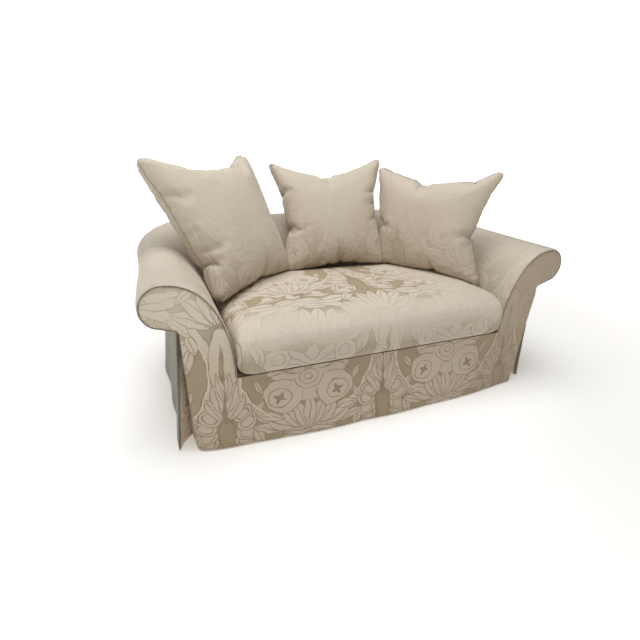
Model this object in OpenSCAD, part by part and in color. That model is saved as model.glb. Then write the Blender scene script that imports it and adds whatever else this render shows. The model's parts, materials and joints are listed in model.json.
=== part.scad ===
// Rolled arm loveseat with a loose bench cushion and three scatter back pillows.
// Millimetres, +Z up, +X to the right as seen from the front, +Y to the back.
// Origin: middle of the footprint, on the floor.

/* [Overall] */
// Height of the top of the arm roll above the floor
arm_h = 658; // [620:1:700]
// Half the clear width between the arms at the deck
seat_half_w = 604; // [540:1:700]
// Depth from the front facing to the inside back at the deck
seat_depth = 667; // [600:1:720]
// How much taller the back roll is than the arm roll, measured from the deck
back_lift = 1.10; // [1:0.01:1.15]

/* [Arm scroll] */
// Radius of the roll at the front of the arm
roll_r = 74; // [60:1:80]
// Horizontal distance from the inside of the arm to the centre of the roll
roll_u = 218; // [190:1:225]
// Squareness of the inside slope of the arm, 2 is an ellipse
slope_n = 2.2; // [2:0.1:2.6]
// Height of the neck under the roll, where the outside panel starts
neck_z = 498; // [480:1:510]
// Horizontal distance from the inside of the arm to the neck
neck_u = 183; // [170:1:190]
// Width of the roll at the back as a share of its width at the front
roll_taper = 0.92; // [0.88:0.01:1]
// Radius of the inside corner between arm and back
corner_r = 60; // [50:1:90]
// Where the arm cover ends and the back cover starts, behind the front
cover_seam_y = 470; // [400:1:520]

/* [Skirt] */
// Gap under the hem
hem_gap = 6; // [4:1:15]
// Bow of the front hem, forward of the facing
hem_bow = 44; // [20:1:50]
// Half width of the side hem
hem_half_w = 810; // [795:1:815]
// Depth of the rear hem behind the front facing
hem_rear_y = 872; // [860:1:890]

/* [Seat] */
// Height of the top of the deck
deck_z = 294; // [285:1:300]
// Height of the crown of the seat cushion
cushion_top = 498; // [470:1:510]
// How far the cushion stands in front of the facing
cushion_nose = 30; // [10:1:40]

/* [Pillows] */
// Width of a pillow across its corners
pillow_w = 540; // [500:1:560]
// Height of a pillow across its corners
pillow_h = 520; // [480:1:540]
// Thickness of the left pillow
pillow_t = 200; // [160:1:210]
// How far the pillow edges pull in between the corners, as a share of the half width
pillow_pinch = 0.12; // [0.06:0.01:0.16]

/* [Frame] */
// Thickness of the hardwood rails
rail_t = 28; // [24:1:32]
// Underside of the seat rails
rail_z0 = 112; // [100:1:125]
// Top of the seat rails
rail_z1 = 236; // [220:1:240]
// Side of a square leg
leg_s = 55; // [45:1:60]
// Thickness of the glide under each leg
glide_t = 4; // [3:1:6]
// Number of sinuous seat springs
spring_count = 7; // [5:1:9]

/* [Hidden] */

cloth = [0.80, 0.74, 0.64];
cloth2 = [0.76, 0.70, 0.59];
timber = [0.78, 0.62, 0.42];
ply = [0.84, 0.72, 0.52];
wadding = [0.95, 0.94, 0.90];
foam = [0.96, 0.93, 0.78];
jute = [0.70, 0.58, 0.38];
steel = [0.62, 0.63, 0.65];
black = [0.12, 0.12, 0.12];

deck_in = 280;                       // height where the inside of the arm starts, just under the deck
roll_z = arm_h - roll_r;             // height of the centre of the roll
cover_t = 3;                         // fabric with its backing
pad_d = 28;                          // depth of the inner face of the padding under the cover
gap = 0.9;                           // air between neighbouring soft layers
in_cx = seat_half_w - corner_r;      // centre of the inside corner
in_cy = seat_depth - corner_r;
back_u = neck_u * roll_taper;        // neck distance at the back
y_front = -hem_bow - 1;              // front of the bowed hem
y_rear = seat_depth + (roll_u + roll_r) * roll_taper;
y_mid = (y_front + y_rear) / 2;      // middle of the footprint
base_x = seat_half_w + neck_u;       // outside of the base under the neck

// ---------- small helpers ----------
module at_origin() { translate([0, -y_mid, 0]) children(); }
module right_and_left() { children(); mirror([1, 0, 0]) children(); }
module block(x, y, z) { translate([x[0], y[0], z[0]]) cube([x[1] - x[0], y[1] - y[0], z[1] - z[0]]); }
function sm(t) = let (c = min(1, max(0, t))) c * c * (3 - 2 * c);
function mix(a, b, t) = a + (b - a) * t;
function rev(v) = [for (i = [len(v) - 1:-1:0]) v[i]];

// ---------- the scroll profile, [distance outwards, height] ----------
function scroll(n1 = 8, n2 = 9) = concat(
    [for (i = [0:n1 - 1]) let (t = 90 * i / n1)
        [roll_u * (1 - pow(cos(t), 2 / slope_n)), deck_in + (arm_h - deck_in) * pow(sin(t), 2 / slope_n)]],
    [for (i = [0:n2]) let (t = 90 - 150 * i / n2) [roll_u + roll_r * cos(t), roll_z + roll_r * sin(t)]],
    [[neck_u, neck_z]]);
// a copy of an open profile, d inside it
function inset(p, d) = [for (i = [0:len(p) - 1])
    let (a = p[max(0, i - 1)], b = p[min(len(p) - 1, i + 1)], t = (b - a) / norm(b - a))
        p[i] + d * [t[1], -t[0]]];
// closed band between two depths under the cover surface
function band(d0, d1) = concat(inset(scroll(), d0), rev(inset(scroll(), d1)));

// ---------- the path that the profile follows: [x, y, outward x, outward y, run] ----------
corner_run = 350;
function side_st(y) = [seat_half_w, y, 1, 0, y];
function corner_st(a) = [in_cx + corner_r * cos(a), in_cy + corner_r * sin(a), cos(a), sin(a), in_cy + corner_run * a / 90];
function back_st(x) = [x, seat_depth, 0, 1, in_cy + corner_run + in_cx - x];
function flip(s) = [-s[0], s[1], -s[2], s[3], s[4]];
function half_path() = concat([for (y = [cover_seam_y, 540]) side_st(y)], [for (a = [0:15:90]) corner_st(a)],
    [for (x = [in_cx * 0.66, in_cx * 0.33]) back_st(x)]);
function back_path() = concat(half_path(), [back_st(0)], [for (s = rev(half_path())) flip(s)]);
function ku(s) = 1 - (1 - roll_taper) * sm(s / 500);
function kz(s) = 1 + (back_lift - 1) * sm((s - 420) / 600);
function lift_pt(st, q) = [st[0] + st[2] * q[0] * ku(st[4]), st[1] + st[3] * q[0] * ku(st[4]),
    deck_in + (q[1] - deck_in) * kz(st[4])];

// skin a stack of equal closed loops; a strip loop runs out along one side and back along the other
module skin(loops, strip = true) {
    n = len(loops[0]);
    m = len(loops);
    h = n / 2;
    e = (m - 1) * n;
    polyhedron([for (l = loops) each l], concat(
        [for (i = [0:m - 2]) for (j = [0:n - 1])
            let (a = i * n + j, b = i * n + (j + 1) % n, c = b + n, d = a + n)
                each (j < h ? [[a, b, d], [b, c, d]] : [[a, b, c], [a, c, d]])],
        strip ? [for (j = [0:h - 2]) each [[n - 1 - j, n - 2 - j, j + 1], [n - 1 - j, j + 1, j]]]
              : [[for (j = [n - 1:-1:0]) j]],
        strip ? [for (j = [0:h - 2]) each [[e + j, e + j + 1, e + n - 2 - j], [e + j, e + n - 2 - j, e + n - 1 - j]]]
              : [[for (j = [0:n - 1]) e + j]]), convexity = 8);
}
module swept(path, loop) { skin([for (s = path) [for (q = loop) lift_pt(s, q)]]); }

// ---------- upholstery of the arms and back ----------
module arm_cover() { swept([for (y = [cover_seam_y, 330, 170, 22, 6]) side_st(y)], band(0, cover_t)); }
module arm_padding() { swept([for (y = [cover_seam_y, 330, 170, 22]) side_st(y)], band(cover_t + gap, pad_d)); }
module right_arm_cover() color(cloth) at_origin() arm_cover();
module left_arm_cover() color(cloth) at_origin() mirror([1, 0, 0]) arm_cover();
module right_arm_padding() color(wadding) at_origin() arm_padding();
module left_arm_padding() color(wadding) at_origin() mirror([1, 0, 0]) arm_padding();
module back_cover() color(cloth) at_origin() swept(rev(back_path()), band(0, cover_t));
module back_padding() color(wadding) at_origin() swept(rev(back_path()), band(cover_t + gap, pad_d));

// ---------- front: the two scroll facings and the bowed apron are one cut panel ----------
function bow(x, z) = hem_bow * (1 - pow(min(1, abs(x) / 775), 2.4)) * pow(max(0, (292 - z) / (292 - hem_gap)), 1.5);
// rungs across the panel, each from the hem or the outside edge to the deck line or the edge of the scroll
function right_rungs() = let (p = inset(scroll(), 6), n = len(p) - 1) concat(
    [[[seat_half_w + 8, hem_gap], [seat_half_w + 7, deck_z - 2]]],
    [for (i = [1:7]) [[seat_half_w + 24 * i, hem_gap], [seat_half_w + p[i][0], p[i][1]]]],
    [for (j = [1:4]) let (q = mix(p[7], p[8], 0.035 * j)) [[772 + 9 * j / 4, mix(hem_gap, neck_z + 2, j / 4)], [seat_half_w + q[0], q[1]]]],
    [for (j = [8:n]) [[781 + 0.2 * (j - 7), neck_z + 2 + 0.3 * (j - 7)], [seat_half_w + p[j][0], p[j][1]]]]);
function mid_rungs() = [for (i = [-8:8]) [[i * 75.6, hem_gap], [i * 75.6, deck_z - 2]]];
function mirror_rung(r) = [[-r[0][0], r[0][1]], [-r[1][0], r[1][1]]];
module panel_from(rungs, t) {
    m = 5;
    skin([for (r = rungs) let (q = [for (k = [0:m]) mix(r[0], r[1], k / m)]) concat(
        [for (v = q) [v[0], -bow(v[0], v[1]), v[1]]], [for (v = rev(q)) [v[0], t - bow(v[0], v[1]), v[1]]])]);
}
module front_panel() color(cloth2) at_origin()
    panel_from(concat([for (r = rev(right_rungs())) mirror_rung(r)], mid_rungs(), right_rungs()), cover_t);
module welt(r = 3) {
    q = inset(scroll(), 1);
    p = concat([[1, deck_z + 5]], [for (i = [1:len(q) - 1]) q[i]]);
    n = len(p);
    skin([for (i = [n - 1:-1:0]) let (a = p[max(0, i - 1)], b = p[min(n - 1, i + 1)], t = (b - a) / norm(b - a))
        [for (k = [0:7]) let (c = r * cos(45 * k), s = r * sin(45 * k))
            [seat_half_w + p[i][0] + c * t[1], 2 + s, p[i][1] - c * t[0]]]]);
}
module right_scroll_welt() color(cloth) at_origin() welt();
module left_scroll_welt() color(cloth) at_origin() mirror([1, 0, 0]) welt();

// ---------- sides and back of the skirt ----------
hem_r = 60;
function hem_corner(a) = [hem_half_w - hem_r + hem_r * cos(a), hem_rear_y - hem_r + hem_r * sin(a)];
// four corners of the panel at one station: outside top, outside hem, inside hem, inside top
function panel_loop(st, h, t = cover_t, d = 0) = let (k = neck_u * ku(st[4]), z = deck_in + (neck_z - 3 - deck_in) * kz(st[4]))
    [[st[0] + st[2] * (k - d), st[1] + st[3] * (k - d), z], [h[0] - st[2] * d, h[1] - st[3] * d, hem_gap],
     [h[0] - st[2] * t, h[1] - st[3] * t, hem_gap], [st[0] + st[2] * (k - t), st[1] + st[3] * (k - t), z]];
module side_panel() {
    ys = [34, 200, 400, in_cy];
    skin(rev(concat([for (y = ys) panel_loop(side_st(y), [hem_half_w, mix(34, hem_rear_y - hem_r, (y - 34) / (in_cy - 34))])],
        [for (a = [15, 30, 44]) panel_loop(corner_st(a), hem_corner(a))])));
}
module right_side_panel() color(cloth2) at_origin() side_panel();
module left_side_panel() color(cloth2) at_origin() mirror([1, 0, 0]) side_panel();
module rear_panel() color(cloth2) at_origin() {
    half = concat([for (a = [46, 60, 75, 90]) panel_loop(corner_st(a), hem_corner(a))],
        [panel_loop(back_st(in_cx * 0.5), [in_cx * 0.66, hem_rear_y])]);
    mid = [panel_loop(back_st(0), [0, hem_rear_y])];
    left = [for (l = rev(half)) [for (q = l) [-q[0], q[1], q[2]]]];
    skin(rev(concat(half, mid, left)));
}
// a pleat underlay: a tapering strip behind the slit at a corner
module underlay(top_a, top_b, hem_a, hem_b, z1) {
    d = [hem_b[1] - hem_a[1], hem_a[0] - hem_b[0]];
    t = d / norm(d) * 2;
    skin(rev([[[top_a[0], top_a[1], z1], [top_b[0], top_b[1], z1], [top_b[0] + t[0], top_b[1] + t[1], z1], [top_a[0] + t[0], top_a[1] + t[1], z1]],
        [[hem_a[0], hem_a[1], hem_gap], [hem_b[0], hem_b[1], hem_gap], [hem_b[0] + t[0], hem_b[1] + t[1], hem_gap], [hem_a[0] + t[0], hem_a[1] + t[1], hem_gap]]]));
}
module front_pleat() { underlay([775, 48], [780, 34.67], [770, 120], [800, 40], 484); }
module rear_pleat() { skin(rev([for (a = [30, 44, 46, 60]) panel_loop(corner_st(a), hem_corner(a), cover_t + 3, cover_t + 1)])); }
module front_right_pleat() color(cloth) at_origin() front_pleat();
module front_left_pleat() color(cloth) at_origin() mirror([1, 0, 0]) front_pleat();
module rear_right_pleat() color(cloth) at_origin() rear_pleat();
module rear_left_pleat() color(cloth) at_origin() mirror([1, 0, 0]) rear_pleat();
module dust_cover() color(black) at_origin() difference() {
    block([-740, 740], [24, 806], [rail_z0 - 2, rail_z0 - 0.5]);
    at_corners() block([leg_x - leg_s / 2 - 1, leg_x + leg_s / 2 + 1], [leg_y - leg_s / 2 - 1, leg_y + leg_s / 2 + 1], [rail_z0 - 5, rail_z0 + 5]);
}

// ---------- seat deck ----------
function deck_outline(y0) = concat([[-seat_half_w + 1, y0], [seat_half_w - 1, y0]],
    [for (a = [0:15:90]) [in_cx + (corner_r - 1) * cos(a), in_cy + (corner_r - 1) * sin(a)]],
    [for (a = [90:15:180]) [-in_cx + (corner_r - 1) * cos(a), in_cy + (corner_r - 1) * sin(a)]]);
module deck_layer(y0, z0, z1) { translate([0, 0, z0]) linear_extrude(z1 - z0) polygon(deck_outline(y0)); }
module deck_cover() color(cloth2) at_origin() deck_layer(4, deck_z - 2.5, deck_z);
module deck_pad() color(wadding) at_origin() deck_layer(62, 264, deck_z - 3);
module seat_burlap() color(jute) at_origin() deck_layer(18, 261.5, 263.5);
module front_edge_roll() color(foam) at_origin() translate([-seat_half_w + 1, 0, 0]) rotate([90, 0, 90])
    linear_extrude(2 * seat_half_w - 2) intersection() {
        translate([34, 264]) circle(r = 27, $fn = 48);
        translate([6, 264]) square([54, deck_z - 3 - 264]);
    }
sp_pitch = 1150 / spring_count;
module spring_wire() {
    n = 60;
    c = [for (i = [0:n]) [22 * sin(360 * 10 * i / n), 50 + (seat_depth - 50 + 108) * i / n]];
    function nrm(i) = let (a = c[max(0, i - 1)], b = c[min(n, i + 1)], t = (b - a) / norm(b - a)) [t[1], -t[0]];
    linear_extrude(3.6) polygon(concat([for (i = [0:n]) c[i] + 1.8 * nrm(i)], [for (i = [n:-1:0]) c[i] - 1.8 * nrm(i)]));
}
module spring_row() { for (i = [0:spring_count - 1]) translate([(i - (spring_count - 1) / 2) * sp_pitch, 0, 0]) children(); }
module seat_springs() color(steel) at_origin() spring_row() translate([0, 0, 245]) spring_wire();
module spring_clips() color(steel) at_origin() spring_row() {
    difference() { block([-9, 9], [22, 46], [rail_z1, 252]); block([-10, 10], [40, 60], [240, 249.5]); }
    difference() { block([-9, 9], [782, 808], [rail_z1, 252]); block([-10, 10], [770, 787], [240, 249.5]); }
}
module spring_tie_wires() color(steel) at_origin() for (y = [230, 430, 620]) translate([-595, y, 251.2]) rotate([0, 90, 0]) cylinder(r = 1.6, h = 1190, $fn = 24);

// ---------- timber frame ----------
// centre of the front right leg, measured from the front facing
leg_x = 688;
leg_y = 79;
module front_seat_rail() color(timber) at_origin() block([-745, 745], [22, 22 + rail_t], [rail_z0, rail_z1]);
module rear_seat_rail() color(timber) at_origin() block([-745, 745], [780, 780 + rail_t], [rail_z0, rail_z1]);
module side_rail() block([717, 745], [22 + rail_t, 780], [rail_z0, rail_z1]);
module right_side_rail() color(timber) at_origin() side_rail();
module left_side_rail() color(timber) at_origin() mirror([1, 0, 0]) side_rail();
module centre_seat_rail() color(timber) at_origin() block([-14, 14], [50, 780], [rail_z0 + 6, 215]);
module at_corners() { right_and_left() { children(); translate([0, 830, 0]) mirror([0, 1, 0]) children(); } }
module corner_blocks() color(timber) at_origin() at_corners() difference() {
    translate([0, 0, rail_z0 + 4]) linear_extrude(90) polygon([[717, 50], [717, 140], [700, 140], [627, 67], [627, 50]]);
    translate([leg_x, leg_y, rail_z0]) cylinder(r = 4.2, h = 120, $fn = 32);
    for (z = [150, 185]) {
        translate([650, 49, z]) rotate([-90, 0, 0]) cylinder(r = 2.5, h = 60, $fn = 24);
        translate([650, 71.8, z]) rotate([-90, 0, 0]) cylinder(r = 5, h = 30, $fn = 32);
        translate([718, 117, z]) rotate([0, -90, 0]) cylinder(r = 2.5, h = 60, $fn = 24);
        translate([695.2, 117, z]) rotate([0, -90, 0]) cylinder(r = 5, h = 30, $fn = 32);
    }
}
module wood_screw() { cylinder(r = 4.4, h = 3, $fn = 32); translate([0, 0, 3]) cylinder(r = 2.3, h = 38, $fn = 24); }
module corner_block_screws() color(steel) at_origin() at_corners() for (z = [150, 185]) {
    translate([650, 71 + 4, z]) rotate([90, 0, 0]) wood_screw();
    translate([692, 117, z]) rotate([0, 90, 0]) wood_screw();
}
module legs() color(timber) at_origin() at_corners() difference() {
    translate([leg_x - leg_s / 2, leg_y - leg_s / 2, glide_t]) cube([leg_s, leg_s, rail_z0 + 3.5 - glide_t]);
    translate([leg_x, leg_y, 59]) cylinder(r = 4.2, h = 90, $fn = 32);
}
module leg_bolts() color(steel) at_origin() at_corners() translate([leg_x, leg_y, 62]) cylinder(r = 4, h = 120, $fn = 32);
module glides() color([0.85, 0.85, 0.83]) at_origin() at_corners() translate([leg_x, leg_y, 0]) cylinder(r = 14, h = glide_t, $fn = 48);
rail_zt = 567;                       // underside of the arm rails
module front_post() { block([712, 757], [22, 82], [rail_z1, rail_zt - 0.2]); }
module rear_post() { block([646, 683], [706, 746], [rail_z0 + 94, rail_zt - 3]); }
module right_front_post() color(timber) at_origin() front_post();
module left_front_post() color(timber) at_origin() mirror([1, 0, 0]) front_post();
module right_rear_post() color(timber) at_origin() rear_post();
module left_rear_post() color(timber) at_origin() mirror([1, 0, 0]) rear_post();
module scroll_board() {
    p = inset(scroll(), 5);
    translate([0, 21.5, 0]) rotate([90, 0, 0]) linear_extrude(18)
        polygon(concat([[seat_half_w + 5, 120]], [for (q = p) [seat_half_w + q[0], q[1]]], [[seat_half_w + neck_u - 12, 470], [seat_half_w + neck_u - 32, 120]]));
}
module right_scroll_board() color(ply) at_origin() scroll_board();
module left_scroll_board() color(ply) at_origin() mirror([1, 0, 0]) scroll_board();
module arm_rail() {
    block([730, 809], [22, in_cy + 1], [rail_zt, rail_zt + 24]);
    translate([in_cx, in_cy, rail_zt]) difference() {
        intersection() { cylinder(r = 265, h = 24, $fn = 96); block([0, 300], [0, 300], [0, 24]); }
        translate([0, 0, -1]) cylinder(r = 174, h = 26, $fn = 96);
    }
}
module right_arm_rail() color(timber) at_origin() arm_rail();
module left_arm_rail() color(timber) at_origin() mirror([1, 0, 0]) arm_rail();
module arm_tack_rails() color(timber) at_origin() right_and_left() block([644, 664], [22, 706], [300, 350]);
module top_back_rail() color(timber) at_origin() block([-590, 590], [788, 866], [rail_zt + 24, rail_zt + 48]);
module back_tack_rail() color(timber) at_origin() block([-643, 643], [707, 727], [300, 350]);
module back_uprights() color(timber) at_origin() right_and_left() {
    block([210, 255], [780, 808], [rail_z1, rail_zt + 24]);
    block([210, 255], [727, 781], [305, 345]);
}
module frame_dowels() color(ply) at_origin() right_and_left() {
    for (v = [[731, 68], [719, 36]]) translate([v[0], v[1], rail_z1 - 20]) cylinder(r = 4, h = 40, $fn = 24);
    translate([672, 735, rail_z0 + 74]) cylinder(r = 4, h = 40, $fn = 24);
}
module strap(x0, z0, x1, z1, w, t = 2) {
    l = norm([x1 - x0, z1 - z0]);
    translate([x0, 0, z0]) rotate([0, atan2(x1 - x0, z1 - z0), 0]) cube([t, w, l]);
}
module arm_webbing() color(jute) at_origin() right_and_left() for (y = [90, 200, 310, 420]) translate([0, y, 0]) strap(641, 352, 726, 574, 50);
module back_webbing() color(jute) at_origin() for (x = [-480:160:480]) translate([x + 25, 0, 0]) rotate([0, 0, 90]) strap(704, 352, 782, 590, 50);

// ---------- bench cushion ----------
// one ring of the cushion: a rounded rectangle pulled in at the sides, the front and the rear
cush_y0 = -cushion_nose;
cush_y1 = seat_depth - 7;
function cush_ring(z, ds, df, dr, e = 0) = let (hx = seat_half_w - 6 - ds - e, ya = cush_y0 + df + e, yb = cush_y1 - dr - e,
    cy = (ya + yb) / 2, hy = (yb - ya) / 2, r = min(46 + ds * 0.35, hy - 6) - e)
    [for (q = [0:3]) for (k = [0:6]) let (a = 90 * q + 15 * k, sx = (q == 0 || q == 3) ? 1 : -1, sy = q < 2 ? 1 : -1)
        [sx * (hx - r) + r * cos(a), cy + sy * (hy - r) + r * sin(a), z]];
function cush_rings(e) = let (h = cushion_top - deck_z - 1) [
    cush_ring(deck_z + 0.6 + e, 30, 30, 18, e), cush_ring(deck_z + 0.06 * h + e, 10, 10, 5, e), cush_ring(deck_z + 0.25 * h, 0, 0, 0, e),
    cush_ring(deck_z + 0.50 * h, 0, 0, 0, e), cush_ring(deck_z + 0.68 * h - e / 2, 6, 10, 3, e), cush_ring(deck_z + 0.80 * h - e, 22, 36, 16, e),
    cush_ring(deck_z + 0.90 * h - e, 62, 86, 80, e), cush_ring(deck_z + 0.965 * h - e, 132, 150, 170, e), cush_ring(deck_z + h - e, 240, 230, 290, e)];
module cush_body(e) { skin(rev(cush_rings(e)), false); }
zip_z = 362;
// a sewn bag, open along the zip
module seat_cushion_cover() color(cloth) at_origin() difference() {
    cush_body(0);
    cush_body(2.5);
    block([-508, 508], [cush_y1 - 10, cush_y1 + 5], [zip_z - 8, zip_z + 8]);
}
// the wadding goes round the foam and is open at its two ends
module seat_cushion_wrap() color(wadding) at_origin() difference() { cush_body(3); block([-700, 700], [14, 630], [312, 440]); }
module seat_cushion_core() color(foam) at_origin() block([-575, 575], [14.4, 629.6], [312.4, 439.6]);
module seat_cushion_zip() color([0.80, 0.76, 0.68]) at_origin() {
    block([-510, 510], [cush_y1 + 0.3, cush_y1 + 1.3], [zip_z - 13, zip_z - 2.2]);
    block([-510, 510], [cush_y1 + 0.3, cush_y1 + 1.3], [zip_z + 2.2, zip_z + 13]);
    block([-510, 510], [cush_y1 + 0.3, cush_y1 + 2.0], [zip_z - 2.0, zip_z + 2.0]);
}
module zip_slider() color([0.72, 0.62, 0.38]) at_origin() {
    block([489, 501], [cush_y1 + 2.6, cush_y1 + 4.4], [zip_z - 4.5, zip_z + 4.5]);
    block([493, 497], [cush_y1 + 4.4, cush_y1 + 5.6], [zip_z - 22, zip_z + 2]);
}

// ---------- scatter pillows: knife-edge squares with drawn-out corners ----------
pil_n = 10;
function pil_pt(s, t, g, w, h, th) = let (p = pillow_pinch, b = pow(max(0, (1 - s * s) * (1 - t * t)), 0.45))
    [w / 2 * s * (1 - p * (1 - t * t)), g * th / 2 * b, h / 2 * t * (1 - p * (1 - s * s))];
module pillow(w, h, th) {
    n = pil_n;
    function u(i) = sin(90 * (2 * i / n - 1));
    front = [for (j = [0:n]) for (i = [0:n]) pil_pt(u(i), u(j), -1, w, h, th)];
    inner = [for (j = [1:n - 1]) for (i = [1:n - 1]) pil_pt(u(i), u(j), 1, w, h, th)];
    m = (n + 1) * (n + 1);
    function f(i, j) = j * (n + 1) + i;
    function b(i, j) = (i == 0 || j == 0 || i == n || j == n) ? f(i, j) : m + (j - 1) * (n - 1) + i - 1;
    polyhedron(concat(front, inner), concat(
        [for (j = [0:n - 1]) for (i = [0:n - 1]) each ((i + j) % 2 == 0 ?
            [[f(i, j), f(i, j + 1), f(i + 1, j + 1)], [f(i, j), f(i + 1, j + 1), f(i + 1, j)]] :
            [[f(i, j), f(i, j + 1), f(i + 1, j)], [f(i + 1, j), f(i, j + 1), f(i + 1, j + 1)]])],
        [for (j = [0:n - 1]) for (i = [0:n - 1]) each ((i + j) % 2 == 0 ?
            [[b(i, j), b(i + 1, j + 1), b(i, j + 1)], [b(i, j), b(i + 1, j), b(i + 1, j + 1)]] :
            [[b(i, j), b(i + 1, j), b(i, j + 1)], [b(i + 1, j), b(i + 1, j + 1), b(i, j + 1)]])]), convexity = 6);
}
// centre, turn about the vertical, lean back, roll in its own plane, width, height, thickness
left_pose = [[-517, 545, 742], 42.5, 31, -1.4, pillow_w, pillow_h + 40, pillow_t + 25];
middle_pose = [[39, 667, 728], -8.7, 22, 2.9, pillow_w - 12, pillow_h - 25, pillow_t - 10];
right_pose = [[473, 396, 726], -53.5, 8.5, 1.1, pillow_w - 30, pillow_h - 45, pillow_t - 10];
module posed(p) { translate(p[0]) rotate([0, 0, p[1]]) rotate([-p[2], 0, 0]) rotate([0, -p[3], 0]) children(); }
module pillow_cover(p) { posed(p) difference() { pillow(p[4], p[5], p[6]); scale(0.975) pillow(p[4], p[5], p[6]); } }
module pillow_insert(p) { posed(p) scale(0.971) pillow(p[4], p[5], p[6]); }
module left_pillow_cover() color(cloth) at_origin() pillow_cover(left_pose);
module left_pillow_insert() color(wadding) at_origin() pillow_insert(left_pose);
module middle_pillow_cover() color(cloth) at_origin() pillow_cover(middle_pose);
module middle_pillow_insert() color(wadding) at_origin() pillow_insert(middle_pose);
module right_pillow_cover() color(cloth) at_origin() pillow_cover(right_pose);
module right_pillow_insert() color(wadding) at_origin() pillow_insert(right_pose);

front_seat_rail();
rear_seat_rail();
left_side_rail();
right_side_rail();
centre_seat_rail();
corner_blocks();
corner_block_screws();
legs();
leg_bolts();
glides();
left_front_post();
right_front_post();
left_rear_post();
right_rear_post();
left_scroll_board();
right_scroll_board();
left_arm_rail();
right_arm_rail();
arm_tack_rails();
top_back_rail();
back_tack_rail();
back_uprights();
frame_dowels();
seat_springs();
spring_clips();
spring_tie_wires();
seat_burlap();
deck_pad();
deck_cover();
front_edge_roll();
arm_webbing();
back_webbing();
left_arm_padding();
right_arm_padding();
back_padding();
left_arm_cover();
right_arm_cover();
back_cover();
front_panel();
left_side_panel();
right_side_panel();
rear_panel();
front_left_pleat();
front_right_pleat();
rear_left_pleat();
rear_right_pleat();
left_scroll_welt();
right_scroll_welt();
dust_cover();
seat_cushion_cover();
seat_cushion_wrap();
seat_cushion_core();
seat_cushion_zip();
zip_slider();
left_pillow_cover();
left_pillow_insert();
middle_pillow_cover();
middle_pillow_insert();
right_pillow_cover();
right_pillow_insert();
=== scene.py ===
# Looks of the rolled arm loveseat, built round its fixed frame. Metres, +Z up.
import bpy
import bmesh
import json
import math
import numpy as np
from mathutils import Matrix, Vector, noise
from mathutils.bvhtree import BVHTree

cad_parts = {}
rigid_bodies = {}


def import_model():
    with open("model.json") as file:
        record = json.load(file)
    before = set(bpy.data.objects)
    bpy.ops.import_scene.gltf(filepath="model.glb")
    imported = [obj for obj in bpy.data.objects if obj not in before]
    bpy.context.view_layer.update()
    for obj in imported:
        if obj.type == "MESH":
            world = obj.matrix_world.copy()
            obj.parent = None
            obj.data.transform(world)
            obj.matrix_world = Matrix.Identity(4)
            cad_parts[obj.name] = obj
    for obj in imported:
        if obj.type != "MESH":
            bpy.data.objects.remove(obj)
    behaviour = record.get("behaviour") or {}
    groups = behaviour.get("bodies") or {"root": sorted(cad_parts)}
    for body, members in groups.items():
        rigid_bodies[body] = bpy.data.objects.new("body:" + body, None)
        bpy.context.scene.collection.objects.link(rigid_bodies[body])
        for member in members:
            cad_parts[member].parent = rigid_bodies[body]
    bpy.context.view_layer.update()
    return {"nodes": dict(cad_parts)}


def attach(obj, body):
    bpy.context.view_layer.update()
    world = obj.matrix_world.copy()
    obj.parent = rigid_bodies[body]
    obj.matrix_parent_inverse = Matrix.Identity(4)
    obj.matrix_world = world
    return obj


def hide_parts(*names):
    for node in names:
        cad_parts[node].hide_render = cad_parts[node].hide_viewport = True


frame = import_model()


# ---------------------------------------------------------------- sizes, as in the construction
YM = 0.44532            # the front facing stands this far in front of the origin
ARM_H, SEAT_W, SEAT_D, LIFT = 0.658, 0.604, 0.667, 1.10
ROLL_R, ROLL_U, SLOPE_N = 0.074, 0.218, 2.2
NECK_Z, NECK_U, TAPER, CORNER = 0.498, 0.183, 0.92, 0.060
SEAM_Y, HEM, BOW = 0.470, 0.006, 0.044
HEM_W, HEM_Y, HEM_R = 0.810, 0.872, 0.060
DECK_Z, DECK_IN, TOP = 0.294, 0.280, 0.498
ROLL_Z = ARM_H - ROLL_R
IN_CX, IN_CY = SEAT_W - CORNER, SEAT_D - CORNER
RUN = 0.350


def sm(t):
    t = np.clip(t, 0.0, 1.0)
    return t * t * (3 - 2 * t)


def ku(s):
    return 1 - (1 - TAPER) * sm(s / 0.5)


def kz(s):
    return 1 + (LIFT - 1) * sm((s - 0.42) / 0.6)


def resample(p, n, closed=False):
    """n points evenly along a polyline."""
    p = np.asarray(p, float)
    d = np.concatenate([[0], np.cumsum(np.linalg.norm(np.diff(p, axis=0), axis=1))])
    t = np.linspace(0, d[-1], n)
    return np.stack([np.interp(t, d, p[:, k]) for k in range(p.shape[1])], 1), t


def scroll_profile(n=110):
    """[outwards, height] from the deck over the roll to the neck, with its run and outward normal."""
    pts = []
    for i in range(200):
        t = math.radians(90 * i / 200)
        pts.append((ROLL_U * (1 - math.cos(t) ** (2 / SLOPE_N)), DECK_IN + (ARM_H - DECK_IN) * math.sin(t) ** (2 / SLOPE_N)))
    for i in range(121):
        t = math.radians(90 - 150 * i / 120)
        pts.append((ROLL_U + ROLL_R * math.cos(t), ROLL_Z + ROLL_R * math.sin(t)))
    for i in range(1, 13):
        t = i / 12
        a = pts[320]
        pts.append((a[0] + (NECK_U - a[0]) * t, a[1] + (NECK_Z - a[1]) * t))
    p, run = resample(pts, n)
    tan = np.gradient(p, axis=0)
    tan /= np.linalg.norm(tan, axis=1, keepdims=True)
    nrm = np.stack([-tan[:, 1], tan[:, 0]], 1)
    return p, run, nrm


PROF, PRUN, PNRM = scroll_profile()

# ---------------------------------------------------------------- mesh helpers


def grid_faces(ni, nj, wrap=False):
    f = []
    for i in range(ni - 1):
        for j in range(nj if wrap else nj - 1):
            k = (j + 1) % nj
            f.append((i * nj + j, i * nj + k, (i + 1) * nj + k, (i + 1) * nj + j))
    return f


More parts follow.
